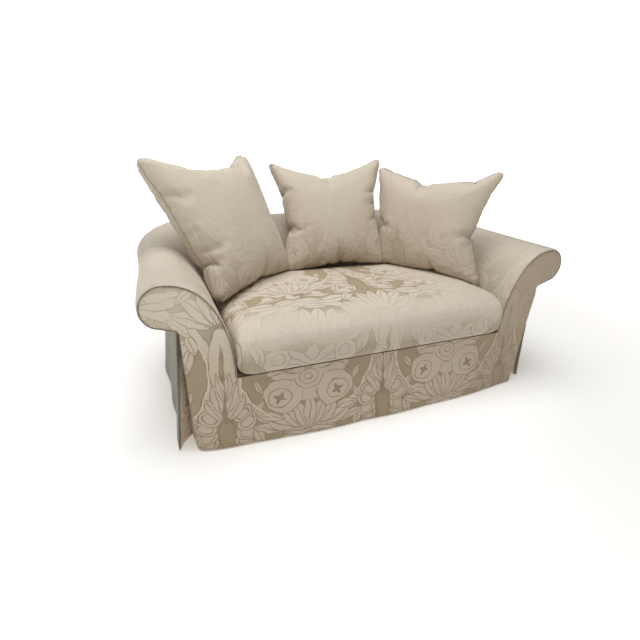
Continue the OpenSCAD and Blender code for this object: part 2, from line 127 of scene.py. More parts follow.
def mesh_object(name, verts, faces, uv=None, smooth=True, extra=None):
    me = bpy.data.meshes.new(name)
    me.from_pydata([tuple(map(float, v)) for v in verts], [], [tuple(int(k) for k in f) for f in faces])
    me.validate()
    me.update()
    ob = bpy.data.objects.new(name, me)
    bpy.context.scene.collection.objects.link(ob)
    if uv is not None:
        lay = me.uv_layers.new(name="cloth")
        uv = np.asarray(uv, np.float32)
        idx = np.zeros(len(me.loops), np.int32)
        me.loops.foreach_get("vertex_index", idx)
        lay.data.foreach_set("uv", uv[idx].reshape(-1))
    for key, values in (extra or {}).items():
        a = me.attributes.new(key, "FLOAT", "POINT")
        a.data.foreach_set("value", np.asarray(values, np.float32))
    if smooth:
        me.polygons.foreach_set("use_smooth", np.ones(len(me.polygons), bool))
    return ob


def apply_mods(ob):
    dg = bpy.context.evaluated_depsgraph_get()
    ev = ob.evaluated_get(dg)
    me = bpy.data.meshes.new_from_object(ev, preserve_all_data_layers=True, depsgraph=dg)
    old = ob.data
    ob.modifiers.clear()
    ob.data = me
    bpy.data.meshes.remove(old)
    return ob


def thicken(ob, t, levels=0):
    m = ob.modifiers.new("thick", "SOLIDIFY")
    m.thickness = t
    m.offset = -1
    m.use_even_offset = False
    m.use_quality_normals = False
    if levels:
        s = ob.modifiers.new("sub", "SUBSURF")
        s.levels = s.render_levels = levels
    return apply_mods(ob)


def fbm(x, y, z, scale, seed=0.0, octaves=3):
    return noise.fractal(Vector((x * scale + seed, y * scale - seed, z * scale + 2 * seed)), 1.0, 2.0, octaves)


def fbm_arr(P, scale, seed=0.0, octaves=3):
    return np.array([fbm(p[0], p[1], p[2], scale, seed, octaves) for p in P])


def tube(path, r, sides=8, closed=False, squash=None):
    """A round cord along a path of points: verts, faces, uv."""
    p = np.asarray(path, float)
    n = len(p)
    t = np.gradient(p, axis=0)
    t /= np.maximum(np.linalg.norm(t, axis=1, keepdims=True), 1e-9)
    up = np.array([0.123, 0.45, 0.88])
    a = np.cross(t[0], up)
    a /= np.linalg.norm(a)
    V, UV = [], []
    run = np.concatenate([[0], np.cumsum(np.linalg.norm(np.diff(p, axis=0), axis=1))])
    for i in range(n):
        a = a - t[i] * (a @ t[i])
        a /= np.linalg.norm(a)
        b = np.cross(t[i], a)
        ri = r[i] if np.ndim(r) else r
        for k in range(sides):
            c = 2 * math.pi * k / sides
            V.append(p[i] + ri * (math.cos(c) * a + math.sin(c) * b))
            UV.append((run[i], ri * c))
    F = grid_faces(n, sides, wrap=True)
    F.append(tuple(range(sides))[::-1])
    F.append(tuple((n - 1) * sides + k for k in range(sides)))
    return np.array(V), F, np.array(UV)


def join(parts):
    V, F, U, o = [], [], [], 0
    for v, f, u in parts:
        V.append(v)
        U.append(u)
        F += [tuple(k + o for k in q) for q in f]
        o += len(v)
    return np.concatenate(V), F, np.concatenate(U)


def mirrored(v, f, u):
    w = v.copy()
    w[:, 0] *= -1
    uu = u.copy()
    uu[:, 0] *= -1
    return w, [tuple(q[::-1]) for q in f], uu


def to_row(v):
    w = np.array(v, float)
    w[:, 1] -= YM
    return w

# ---------------------------------------------------------------- arms and back
def lift(st, q, off=0.0, nrm=None):
    """A profile point at one station of the path: [x, y, nx, ny, run]."""
    a, b = q[:, 0], q[:, 1]
    if nrm is not None:
        a = a + nrm[:, 0] * off
        b = b + nrm[:, 1] * off
    k, z = ku(st[4]), kz(st[4])
    return np.stack([st[0] + st[2] * a * k, st[1] + st[3] * a * k, DECK_IN + (b - DECK_IN) * z], 1)


def pucker(v, seed, pitch=0.035):
    """Irregular gathers along a seam, 0 to 1."""
    return 0.5 + 0.5 * np.sin(v / pitch * 2 * math.pi + 1.7 * np.sin(v * 31 + seed) + seed)


def arm_cover(seed):
    ys = np.concatenate([[0.0036, 0.0044, 0.0058, 0.0080, 0.0110, 0.0150, 0.020], np.linspace(0.026, 0.440, 60), [0.446, 0.452, 0.457, 0.461, 0.4642, 0.4666, 0.4684]])
    V, UV = [], []
    for y in ys:
        d = y - 0.003
        r = 0.011
        rnd = r - math.sqrt(max(0.0, r * r - max(0.0, r - d) ** 2))
        e = 0.469 - y
        rear = 0.006 - math.sqrt(max(0.0, 0.006 ** 2 - max(0.0, 0.006 - e) ** 2))
        off = 0.0018 - rnd - rear * 0.7
        lines = 0.0016 * np.exp(-(d / 0.030)) * (pucker(PRUN, seed) - 0.4) * sm(d / 0.012)
        lines = lines + 0.0012 * math.exp(-(e / 0.025)) * (pucker(PRUN, seed + 2.2, 0.05) - 0.4) * float(sm(e / 0.01))
        V.append(lift((SEAT_W, y, 1, 0, y), PROF, off + lines, PNRM))
        UV.append(np.stack([np.full(len(PRUN), y), PRUN], 1))
    V = np.concatenate(V)
    UV = np.concatenate(UV)
    nz = fbm_arr(V, 7.0, seed, 2)
    wob = np.repeat(np.ones(len(ys)), len(PRUN)) * (0.0016 * nz)
    nn = np.tile(PNRM, (len(ys), 1))
    V[:, 0] += nn[:, 0] * wob
    V[:, 2] += nn[:, 1] * wob
    F = [q[::-1] for q in grid_faces(len(ys), len(PRUN))]
    return V, F, UV


def back_stations():
    st, run = [], 0.0
    for y in np.concatenate([[0.4704, 0.4720, 0.4745, 0.4780, 0.483, 0.490], np.linspace(0.498, IN_CY, 12)]):
        st.append((SEAT_W, y, 1.0, 0.0, y))
    for a in np.linspace(4, 90, 26):
        c, s = math.cos(math.radians(a)), math.sin(math.radians(a))
        st.append((IN_CX + CORNER * c, IN_CY + CORNER * s, c, s, IN_CY + RUN * a / 90))
    for x in np.linspace(IN_CX, 0, 46)[1:]:
        st.append((x, SEAT_D, 0.0, 1.0, IN_CY + RUN + IN_CX - x))
    left = [(-s[0], s[1], -s[2], s[3], s[4]) for s in st[-2::-1]]
    return st + left, len(st)


def back_cover(seed):
    st, half = back_stations()
    mid = PROF[int(len(PROF) * 0.55)]
    line = np.array([(s[0] + s[2] * mid[0], s[1] + s[3] * mid[0]) for s in st])
    run = np.concatenate([[0], np.cumsum(np.linalg.norm(np.diff(line, axis=0), axis=1))])
    run = run - run[half - 1]
    V, UV = [], []
    for i, s in enumerate(st):
        e = max(0.0, s[4] - 0.470) if abs(s[2]) > 0.999 else 1.0
        rear = 0.006 - math.sqrt(max(0.0, 0.006 ** 2 - max(0.0, 0.006 - e) ** 2))
        ang = abs(math.degrees(math.atan2(s[3], abs(s[2])))) if i not in (0, len(st) - 1) else 0
        fold = math.exp(-((ang - 45) / 26) ** 2)
        radial = 0.0035 * fold * (pucker(np.full(len(PRUN), run[i]), seed, 0.085) - 0.35) * sm((PRUN - 0.30) / 0.2)
        off = 0.0018 - rear * 0.7 + radial + 0.0012 * math.exp(-(e / 0.025)) * (pucker(PRUN, seed + 1.1, 0.05) - 0.4)
        V.append(lift(s, PROF, off, PNRM))
        UV.append(np.stack([np.full(len(PRUN), -run[i]), PRUN], 1))
    V = np.concatenate(V)
    UV = np.concatenate(UV)
    nz = fbm_arr(V, 6.0, seed, 2)
    nn = np.concatenate([np.stack([s[2] * PNRM[:, 0], s[3] * PNRM[:, 0], PNRM[:, 1]], 1) for s in st])
    V = V + nn * (0.0020 * nz)[:, None]
    F = [q[::-1] for q in grid_faces(len(st), len(PRUN))]
    return V, F, UV


# ---------------------------------------------------------------- front facing, one cut panel
def bow(x, z):
    return BOW * (1 - min(1.0, abs(x) / 0.775) ** 2.4) * max(0.0, (0.292 - z) / 0.286) ** 1.5


def edge_x(z):
    w = np.clip((0.492 - z) / 0.486, 0, 1)
    return 0.7825 - 0.0255 * w


def edge_r(z):
    w = np.clip((0.492 - z) / 0.486, 0, 1)
    return np.minimum(0.002 + 0.032 * w ** 0.9, 0.0120 + 0.022 * sm((0.112 - z) / 0.095))


def edge_l(z):
    w = np.clip((0.486 - z) / 0.480, 0, 1)
    return 0.0015 + 0.078 * w


def facing_map(u, v):
    a, sgn = abs(u), (1 if u >= 0 else -1)
    dome = 0.0
    if v < 0.492 and a > 0.5:
        E, r = float(edge_x(v)), float(edge_r(v))
        s = a - (E - r)
        if s > 0:
            y0 = -bow(E - r, v)
            if s < r * math.pi / 2:
                t = s / r
                return sgn * (E - r + r * math.sin(t)), y0 + r * (1 - math.cos(t)), v
            s -= r * math.pi / 2
            return sgn * (E + 0.08 * s), y0 + r + s, v
    return u, -bow(u, v) - dome, v


def facing():
    q = PROF - PNRM * 0.0012
    right = [(0.0, HEM)]
    ue = lambda z: float(edge_x(z) - edge_r(z) + edge_r(z) * math.pi / 2 + edge_l(z))
    for x in np.linspace(0.0, ue(HEM), 70)[1:]:
        right.append((x, HEM))
    for z in np.linspace(HEM, 0.488, 50)[1:]:
        right.append((ue(z), z))
    right.append((SEAT_W + NECK_U - 0.0010, 0.4975))
    sc = [(SEAT_W + p[0], p[1]) for p in q[::-1]]
    sc = [p for p in sc[1:] if p[1] > DECK_Z - 0.0005]
    right += sc
    right.append((SEAT_W + 0.0020, DECK_Z - 0.002))
    for x in np.linspace(SEAT_W, 0.0, 60)[1:]:
        right.append((x, DECK_Z - 0.002))
    left = [(-x, z) for x, z in right[1:-1]][::-1]
    loop = right + left
    pts = [Vector(p) for p in loop]
    n = len(pts)
    edges = [(i, (i + 1) % n) for i in range(n)]
    step = 0.0105
    xs = np.arange(-0.93, 0.931, step)
    zs = np.arange(HEM + step * 0.6, 0.66, step)
    poly = np.array(loop)

    def inside(P):
        c = np.zeros(len(P), bool)
        for i in range(n):
            a, b = poly[i], poly[(i + 1) % n]
            hit = ((a[1] > P[:, 1]) != (b[1] > P[:, 1])) & (P[:, 0] < (b[0] - a[0]) * (P[:, 1] - a[1]) / (b[1] - a[1] + 1e-12) + a[0])
            c ^= hit
        return c
    G = np.array([(x + (step / 2 if k % 2 else 0), z) for k, z in enumerate(zs) for x in xs])
    G = G[inside(G)]
    dmin = np.full(len(G), 9.0)
    for i in range(n):
        a, b = poly[i], poly[(i + 1) % n]
        ab = b - a
        t = np.clip(((G - a) @ ab) / (ab @ ab + 1e-12), 0, 1)
        dmin = np.minimum(dmin, np.linalg.norm(G - a - t[:, None] * ab, axis=1))
    G = G[dmin > step * 0.55]
    from mathutils.geometry import delaunay_2d_cdt
    out = delaunay_2d_cdt(pts + [Vector(g) for g in G], edges, [], 1, 1e-6)
    P = np.array([(v.x, v.y) for v in out[0]])
    V = np.array([facing_map(p[0], p[1]) for p in P])
    d = np.full(len(P), 9.0)      # distance to the scroll edge, for the tuck behind the welt
    S = np.array(sc)
    for sg in (1, -1):
        Q = S * np.array([sg, 1])
        for i in range(len(Q) - 1):
            a, b = Q[i], Q[i + 1]
            ab = b - a
            t = np.clip(((P - a) @ ab) / (ab @ ab + 1e-12), 0, 1)
            d = np.minimum(d, np.linalg.norm(P - a - t[:, None] * ab, axis=1))
    arm = sm((np.abs(P[:, 0]) - 0.60) / 0.02) * sm((P[:, 1] - 0.30) / 0.04)
    swell = 0.0035 * sm(d / 0.045) * arm - 0.0016 * np.exp(-(d / 0.010) ** 2)
    V[:, 1] -= swell
    flat = np.array([(p[0], 0.0, p[1]) for p in P])
    V[:, 1] -= 0.0016 * fbm_arr(flat, 5.0, 3.1, 2) * sm((0.75 - np.abs(P[:, 0])) / 0.05)
    low = sm((0.30 - P[:, 1]) / 0.25)
    V[:, 1] -= 0.0022 * low * np.sin(P[:, 0] * 17.0 + 0.8 * np.sin(P[:, 0] * 7)) * sm((0.72 - np.abs(P[:, 0])) / 0.06)
    F = [tuple(f) for f in out[2]]
    # outside faces the front
    f0 = F[0]
    a, b, c = (P[i] for i in f0[:3])
    if (b[0] - a[0]) * (c[1] - a[1]) - (b[1] - a[1]) * (c[0] - a[0]) < 0:
        F = [f[::-1] for f in F]
    return V, F, P.copy()


def welt_path():
    q = PROF - PNRM * 0.0012
    pts = [(SEAT_W + p[0], 0.0008, p[1]) for p in q if p[1] > DECK_Z + 0.004]
    pts[-1] = (SEAT_W + NECK_U - 0.0005, 0.0008, 0.4982)
    return np.array(pts)


# ---------------------------------------------------------------- skirt: sides, rear and the pleats
def neck_point(st):
    k, z = ku(st[4]), kz(st[4])
    return np.array([st[0] + st[2] * NECK_U * k, st[1] + st[3] * NECK_U * k, DECK_IN + (NECK_Z - 0.001 - DECK_IN) * z])


def tip(w):
    """Front fold of the side skirt, w = 0 at the neck, 1 at the hem."""
    return np.array([0.7868 + 0.0352 * w, 0.0290 + 0.0040 * w])


def apex(w):
    return np.array([0.7855 - 0.0225 * w, 0.0310 + 0.0830 * w])


def skirt_rows(n=44):
    return np.linspace(0, 1, n)


def side_skirt():
    W = skirt_rows()
    ys = np.concatenate([[0.0], np.linspace(0.012, IN_CY - 0.034, 44)]) + 0.034
    st, hems, run = [], [], []
    for y in ys:
        t = (y - 0.034) / (IN_CY - 0.034)
        st.append((SEAT_W, y, 1, 0, y))
        hems.append((HEM_W + 0.012 * math.exp(-(y - 0.034) / 0.10), 0.033 + (HEM_Y - HEM_R - 0.033) * t))
    for a in np.linspace(5, 44.2, 10):
        c, s = math.cos(math.radians(a)), math.sin(math.radians(a))
        st.append((IN_CX + CORNER * c, IN_CY + CORNER * s, c, s, IN_CY + RUN * a / 90))
        hems.append((HEM_W - HEM_R + HEM_R * c, HEM_Y - HEM_R + HEM_R * s))
    cols = []
    for k, (s, h) in enumerate(zip(st, hems)):
        top = neck_point(s)
        col = []
        for w in W:
            p = top + (np.array([h[0], h[1], HEM]) - top) * w
            if k == 0:
                tp = tip(w)
                p[0], p[1] = tp
            col.append(p)
        cols.append(np.array(col))
    # the front fold turns in with a small radius
    first = cols[0]
    inner = []
    for w, p in zip(W, first):
        d = apex(w) - tip(w)
        L = max(1e-6, float(np.linalg.norm(d)))
        step = min(0.010, L * 0.5)
        inner.append([p[0] + d[0] / L * step * 1.0, p[1] + d[1] / L * step, p[2]])
    nose = first + np.array([-0.0012, -0.0022, 0.0])
    cols = [np.array(inner), nose] + cols[1:] if True else cols
    hem = [hems[0], hems[0]] + hems[1:]
    u = 0.0
    V, UV = [], []
    prev = None
    for k, c in enumerate(cols):
        if prev is not None:
            u += np.linalg.norm(c[-1] - prev[-1])
        prev = c
        wave = 0.0045 * math.sin(u * 21 + 0.6) + 0.0030 * math.sin(u * 9.3 + 2.0)
        s = st[max(0, k - 1)] if k > 0 else st[0]
        amp = wave * W ** 1.6 * float(sm((u - 0.03) / 0.08))
        c = c.copy()
        c[:, 0] += s[2] * amp
        c[:, 1] += s[3] * amp
        V.append(c)
        UV.append(np.stack([np.full(len(W), 0.95 + u), c[:, 2]], 1))
    V = np.concatenate(V)
    UV = np.concatenate(UV)
    return V, [q[::-1] for q in grid_faces(len(cols), len(W))][::1], UV


def front_pleat():
    """The inner wall of the pleat, from the side skirt's fold in to the slit."""
    W = skirt_rows()
    cols = []
    for t in np.linspace(0.0, 1.0, 10):
        col = []
        for w in W:
            a, b = tip(w), apex(w)
            d = b - a
            n = np.array([d[1], -d[0]])
            L = np.linalg.norm(d)
            s = 0.06 + t * 0.98
            bulge = 0.06 * L * math.sin(math.pi * min(1.0, s)) * w
            p = a + d * s + n / max(L, 1e-6) * bulge
            col.append([p[0], p[1], NECK_Z - 0.004 + (HEM - NECK_Z + 0.004) * w])
        cols.append(np.array(col))
    V = np.concatenate(cols)
    UV = np.concatenate([np.stack([np.full(len(W), 0.94 - t * 0.10), c[:, 2]], 1) for t, c in zip(np.linspace(0, 1, 10), cols)])
    return V, grid_faces(len(cols), len(W)), UV


def rear_skirt():
    W = skirt_rows()
    cols, sts = [], []
    for a in np.linspace(45.8, 90, 12):
        c, s = math.cos(math.radians(a)), math.sin(math.radians(a))
        st = (IN_CX + CORNER * c, IN_CY + CORNER * s, c, s, IN_CY + RUN * a / 90)
        top = neck_point(st)
        h = np.array([HEM_W - HEM_R + HEM_R * c, HEM_Y - HEM_R + HEM_R * s, HEM])
        cols.append(np.array([top + (h - top) * w for w in W]))
        sts.append(st)
    for x in np.linspace(IN_CX, 0, 44)[1:]:
        st = (x, SEAT_D, 0, 1, IN_CY + RUN + IN_CX - x)
        top = neck_point(st)
        h = np.array([x * (HEM_W - HEM_R) / IN_CX, HEM_Y, HEM])
        cols.append(np.array([top + (h - top) * w for w in W]))
        sts.append(st)
    lefts = [np.stack([-c[:, 0], c[:, 1], c[:, 2]], 1) for c in cols[-2::-1]]
    lst = [(-s[0], s[1], -s[2], s[3], s[4]) for s in sts[-2::-1]]
    V, UV, u, prev = [], [], 0.0, None
    allc = cols + lefts
    alls = sts + lst
    runs = np.concatenate([[0], np.cumsum([np.linalg.norm(allc[i + 1][-1] - allc[i][-1]) for i in range(len(allc) - 1)])])
    runs -= runs[-1] / 2
    for k, c in enumerate(allc):
        wave = 0.0042 * math.sin(runs[k] * 19) + 0.0035 * math.sin(runs[k] * 8.1 + 1)
        amp = wave * W ** 1.6
        c = c.copy()
        c[:, 0] += alls[k][2] * amp
        c[:, 1] += alls[k][3] * amp
        V.append(c)
        UV.append(np.stack([np.full(len(W), -runs[k]), c[:, 2]], 1))
    return np.concatenate(V), [q[::-1] for q in grid_faces(len(allc), len(W))], np.concatenate(UV)


def rear_pleat():
    W = skirt_rows()
    cols = []
    angles = np.linspace(33, 57, 13)
    for a in angles:
        c, s = math.cos(math.radians(a)), math.sin(math.radians(a))
        st = (IN_CX + CORNER * c, IN_CY + CORNER * s, c, s, IN_CY + RUN * a / 90)
        top = neck_point(st)
        h = np.array([HEM_W - HEM_R + HEM_R * c, HEM_Y - HEM_R + HEM_R * s, HEM])
        col = np.array([top + (h - top) * w for w in W])
        col[:, 0] -= c * 0.0052
        col[:, 1] -= s * 0.0052
        cols.append(col)
    V = np.concatenate(cols)
    UV = np.concatenate([np.stack([np.full(len(W), 1.9 + 0.002 * a), c[:, 2]], 1) for a, c in zip(angles, cols)])
    return V, [q[::-1] for q in grid_faces(len(cols), len(W))], UV

# ---------------------------------------------------------------- bench cushion
H = TOP - DECK_Z - 0.001
RINGS = np.array([    # height share, pull-in at the sides, the front, the rear
    [0.003, .030, .030, .018], [0.06, .010, .010, .005], [0.25, 0, 0, 0], [0.50, 0, 0, 0], [0.68, .006, .010, .003],
    [0.80, .022, .036, .016], [0.90, .062, .086, .080], [0.965, .132, .150, .170], [1.0, .240, .230, .290]])


def pchip(x, y, t):
    x, y, t = np.asarray(x, float), np.asarray(y, float), np.asarray(t, float)
    h, d = np.diff(x), np.diff(y) / np.diff(x)
    m = np.zeros(len(x))
    for i in range(1, len(x) - 1):
        if d[i - 1] * d[i] > 0:
            w1, w2 = 2 * h[i] + h[i - 1], h[i] + 2 * h[i - 1]
            m[i] = (w1 + w2) / (w1 / d[i - 1] + w2 / d[i])
    m[0], m[-1] = d[0], d[-1]
    i = np.clip(np.searchsorted(x, t) - 1, 0, len(h) - 1)
    s = (t - x[i]) / h[i]
    return ((1 + 2 * s) * (1 - s) ** 2 * y[i] + s * (1 - s) ** 2 * h[i] * m[i] + s * s * (3 - 2 * s) * y[i + 1] + s * s * (s - 1) * h[i] * m[i + 1])


NC, NX, NY = 12, 92, 46


def cushion_ring(t, m=1.0, grow=0.0):
    idx = np.arange(9)
    zf, ds, df, dr = (float(pchip(idx, RINGS[:, k], t)) for k in range(4))
    hx = SEAT_W - 0.006 - ds + grow
    ya, yb = -0.030 + df - grow, SEAT_D - 0.007 - dr + grow
    cy, hy = (ya + yb) / 2, (yb - ya) / 2
    r = min(0.046 + ds * 0.35, hy - 0.006)
    hx, hy, r = hx - (1 - m) * hy, hy * m, r * m
    P = []
    for q, (sx, sy) in enumerate(((1, 1), (-1, 1), (-1, -1), (1, -1))):
        for k in range(NC):
            a = math.radians(90 * q + 90 * k / NC)
            P.append((sx * (hx - r) + r * math.cos(a), cy + sy * (hy - r) + r * math.sin(a)))
        n = NX if q % 2 == 0 else NY
        a = math.radians(90 * (q + 1))
        p0 = np.array((sx * (hx - r) + r * math.cos(a), cy + sy * (hy - r) + r * math.sin(a)))
        sx2, sy2 = ((1, 1), (-1, 1), (-1, -1), (1, -1))[(q + 1) % 4]
        p1 = np.array((sx2 * (hx - r) + r * math.cos(a), cy + sy2 * (hy - r) + r * math.sin(a)))
        for k in range(n):
            P.append(tuple(p0 + (p1 - p0) * k / n))
    return np.array(P), DECK_Z + zf * H


def cushion_height_profile():
    """Mid-section outline from the rear of the crown over the front to the bottom, with its run."""
    pts = []
    for t in np.linspace(8, 0, 160):
        idx = np.arange(9)
        zf, ds, df, dr = (float(pchip(idx, RINGS[:, k], t)) for k in range(4))
        pts.append((-0.030 + df, DECK_Z + zf * H))
    pts = [(SEAT_D - 0.297 + 0.0, TOP)] + pts
    p = np.array(pts)
    d = np.concatenate([[0], np.cumsum(np.linalg.norm(np.diff(p, axis=0), axis=1))])
    return p, d


CP, CRUN = cushion_height_profile()


def cushion_uv(P):
    """Cloth coordinates of the wrap: across, and up the front and back over the crown."""
    k = int(np.argmin(np.abs(CP[:, 1] - 0.36)))
    zero = CRUN[k] + 0.36 - 0.36
    v = np.zeros(len(P))
    y, z = P[:, 1] + YM, P[:, 2]
    front = (y < 0.22) & (z > DECK_Z + 0.002)
    for i in np.where(front)[0]:
        j = int(np.argmin((CP[:, 0] - y[i]) ** 2 + ((CP[:, 1] - z[i]) * 1.0) ** 2))
        v[i] = zero - CRUN[j]
    back = ~front
    j0 = int(np.argmin(np.abs(CP[:, 0] - 0.22) + (CP[:, 1] < 0.45) * 9))
    v[back] = zero - CRUN[j0] + (y[back] - 0.22)
    low = z <= DECK_Z + 0.002
    v[low] = -y[low]
    v += 0.36
    ends = np.maximum(0, np.abs(P[:, 0]) - 0.592)
    u = P[:, 0].copy()
    return np.stack([u, v], 1)


def cushion_mesh(grow=0.0):
    rings = []
    ts = np.concatenate([np.linspace(0, 1, 6), np.linspace(1, 4, 22)[1:], np.linspace(4, 8, 40)[1:]])
    for m in np.linspace(0.0, 1.0, 16)[:-1]:
        P, z = cushion_ring(0.0, m, grow)
        rings.append(np.column_stack([P, np.full(len(P), z)]))
    for t in ts:
        P, z = cushion_ring(t, 1.0, grow)
        rings.append(np.column_stack([P, np.full(len(P), z)]))
    for m in np.linspace(1.0, 0.0, 10)[1:]:
        P, z = cushion_ring(8.0, m, grow)
        rings.append(np.column_stack([P, np.full(len(P), z + 0.0015 * (1 - m * m))]))
    V = np.concatenate(rings)
    return V, grid_faces(len(rings), len(rings[0]), wrap=True)


def cushion_seam(side):
    """Where the end piece is sewn to the wrap, up the front corner, along the top and down the rear corner."""
    base = {1: (0, 3), -1: (1, 2)}[side]
    offs = [0, NC + NX, 2 * NC + NX + NY, 3 * NC + 2 * NX + NY]
    pts = []
    tt = np.concatenate([np.linspace(0.25, 3.2, 26), np.linspace(3.2, 3.7, 6)[1:]])
    k_front = offs[base[1]] + NC // 2
    k_rear = offs[base[0]] + NC // 2
    for t in tt:
        P, z = cushion_ring(t)
        pts.append((P[k_front][0], P[k_front][1], z))
    P, z = cushion_ring(3.7)
    y0, y1 = P[k_front][1], P[k_rear][1]
    x0 = P[offs[3] + NC + NY // 2][0] if side == 1 else P[offs[1] + NC + NY // 2][0]
    ys = np.linspace(y0, y1, 60)[1:-1]
    for y in ys:
        e = min(1.0, (y - y0) / 0.05, (y1 - y) / 0.05)
        xe = P[k_front][0] + (x0 - P[k_front][0]) * float(sm(e)) if y < (y0 + y1) / 2 else P[k_rear][0] + (x0 - P[k_rear][0]) * float(sm(e))
        pts.append((xe, y, z))
    for t in tt[::-1]:
        Q, z2 = cushion_ring(t)
        pts.append((Q[k_rear][0], Q[k_rear][1], z2))
    return np.array(pts)


def run_cloth(ob, pressure, frames, stiff, bend, pins=None, quality=6, mass=0.15, cap=None):
    """Swells a closed mesh and applies the result, with each point's travel capped."""
    before = np.zeros(len(ob.data.vertices) * 3, np.float32)
    ob.data.vertices.foreach_get("co", before)
    before = before.reshape(-1, 3)
    if pins is not None:
        g = ob.vertex_groups.new(name="pin")
        for i in range(len(pins)):
            if pins[i] > 0:
                g.add([i], float(pins[i]), "REPLACE")
    m = ob.modifiers.new("swell", "CLOTH")
    c = m.settings
    c.quality = quality
    c.mass = mass
    c.tension_stiffness = c.compression_stiffness = stiff
    c.shear_stiffness = stiff * 0.3
    c.bending_stiffness = bend
    c.tension_damping = c.compression_damping = c.shear_damping = 5
    c.bending_damping = 0.5
    c.air_damping = 2
    c.use_pressure = True
    c.uniform_pressure_force = pressure
    c.effector_weights.gravity = 0
    if pins is not None:
        c.vertex_group_mass = "pin"
    m.collision_settings.use_collision = False
    m.collision_settings.use_self_collision = False
    m.point_cache.frame_start, m.point_cache.frame_end = 1, frames
    sc = bpy.context.scene
    sc.frame_start, sc.frame_end = 1, frames
    for f in range(1, frames + 1):
        sc.frame_set(f)
    apply_mods(ob)
    ob.vertex_groups.clear()
    sc.frame_set(1)
    if cap:
        co = np.zeros(len(ob.data.vertices) * 3, np.float32)
        ob.data.vertices.foreach_get("co", co)
        co = co.reshape(-1, 3)
        d = co - before
        L = np.linalg.norm(d, axis=1, keepdims=True)
        co = before + d * np.minimum(1.0, cap / np.maximum(L, 1e-9))
        ob.data.vertices.foreach_set("co", co.reshape(-1))
        ob.data.update()
    return ob


def coords(ob):
    co = np.zeros(len(ob.data.vertices) * 3, np.float32)
    ob.data.vertices.foreach_get("co", co)
    return co.reshape(-1, 3).astype(float)


def set_coords(ob, co):
    ob.data.vertices.foreach_set("co", np.asarray(co, np.float32).reshape(-1))
    ob.data.update()


def normals(ob):
    n = np.zeros(len(ob.data.vertices) * 3, np.float32)
    ob.data.vertices.foreach_get("normal", n)
    return n.reshape(-1, 3).astype(float)


def set_uv(ob, uv, name="cloth"):
    lay = ob.data.uv_layers.get(name) or ob.data.uv_layers.new(name=name)
    idx = np.zeros(len(ob.data.loops), np.int32)
    ob.data.loops.foreach_get("vertex_index", idx)
    lay.data.foreach_set("uv", np.asarray(uv, np.float32)[idx].reshape(-1))


# ---------------------------------------------------------------- scatter pillows
POSES = {   # centre, turn, lean, roll, width, height, thickness
    "left": ((-0.517, 0.545, 0.742), 42.5, 31.0, -1.4, 0.540, 0.560, 0.225),
    "middle": ((0.039, 0.667, 0.728), -8.7, 22.0, 2.9, 0.528, 0.495, 0.190),
    "right": ((0.473, 0.396, 0.726), -53.5, 8.5, 1.1, 0.510, 0.475, 0.190)}
NP = 56


def pose_matrix(p):
    c, yaw, lean, spin = p[0], math.radians(p[1]), math.radians(p[2]), math.radians(p[3])
    return (Matrix.Translation((c[0], c[1] - YM, c[2])) @ Matrix.Rotation(yaw, 4, "Z") @ Matrix.Rotation(-lean, 4, "X") @ Matrix.Rotation(-spin, 4, "Y"))


def pillow_grid(w, h, seed):
    rng = np.random.RandomState(seed)
    V, F, idx, st = [], [], {}, []
    n = NP
    for g in (0, 1):
        for j in range(n + 1):
            for i in range(n + 1):
                if g == 1 and (i in (0, n) or j in (0, n)):
                    idx[(1, i, j)] = idx[(0, i, j)]
                    continue
                s, t = 2 * i / n - 1, 2 * j / n - 1
                d = max(0.0, (1 - s * s) * (1 - t * t))
                y = (0.020 * d ** 0.5 + 0.0009 * rng.randn()) * (-1 if g == 0 else 1)
                idx[(g, i, j)] = len(V)
                x, z = w / 2 * s, h / 2 * t
                r = 0.036
                dx, dz = max(0.0, abs(x) - (w / 2 - r)), max(0.0, abs(z) - (h / 2 - r))
                if dx > 0 and dz > 0:
                    k = max(dx, dz) / math.hypot(dx, dz)
                    x = math.copysign(w / 2 - r + dx * k, x)
                    z = math.copysign(h / 2 - r + dz * k, z)
                V.append((x, y, z))
                st.append((s, t, g))
    for g in (0, 1):
        for j in range(n):
            for i in range(n):
                q = (idx[(g, i, j)], idx[(g, i + 1, j)], idx[(g, i + 1, j + 1)], idx[(g, i, j + 1)])
                F.append(q if g == 0 else q[::-1])
    border = [idx[(0, i, 0)] for i in range(n)] + [idx[(0, n, j)] for j in range(n)] + [idx[(0, i, n)] for i in range(n, 0, -1)] + [idx[(0, 0, j)] for j in range(n, 0, -1)]
    return np.array(V), F, np.array(st), border


def pillow_form(st, w, h, th):
    s, t, g = st[:, 0], st[:, 1], np.where(st[:, 2] > 0, 1, -1)
    b = np.maximum(0, (1 - s * s) * (1 - t * t)) ** 0.45
    p = 0.12
    return np.stack([w / 2 * s * (1 - p * (1 - t * t)), g * th / 2 * b, h / 2 * t * (1 - p * (1 - s * s))], 1)

# ---------------------------------------------------------------- finishes
def srgb(r, g, b):
    return tuple((c / 255 / 12.92) if c / 255 <= 0.04045 else ((c / 255 + 0.055) / 1.055) ** 2.4 for c in (r, g, b)) + (1.0,)


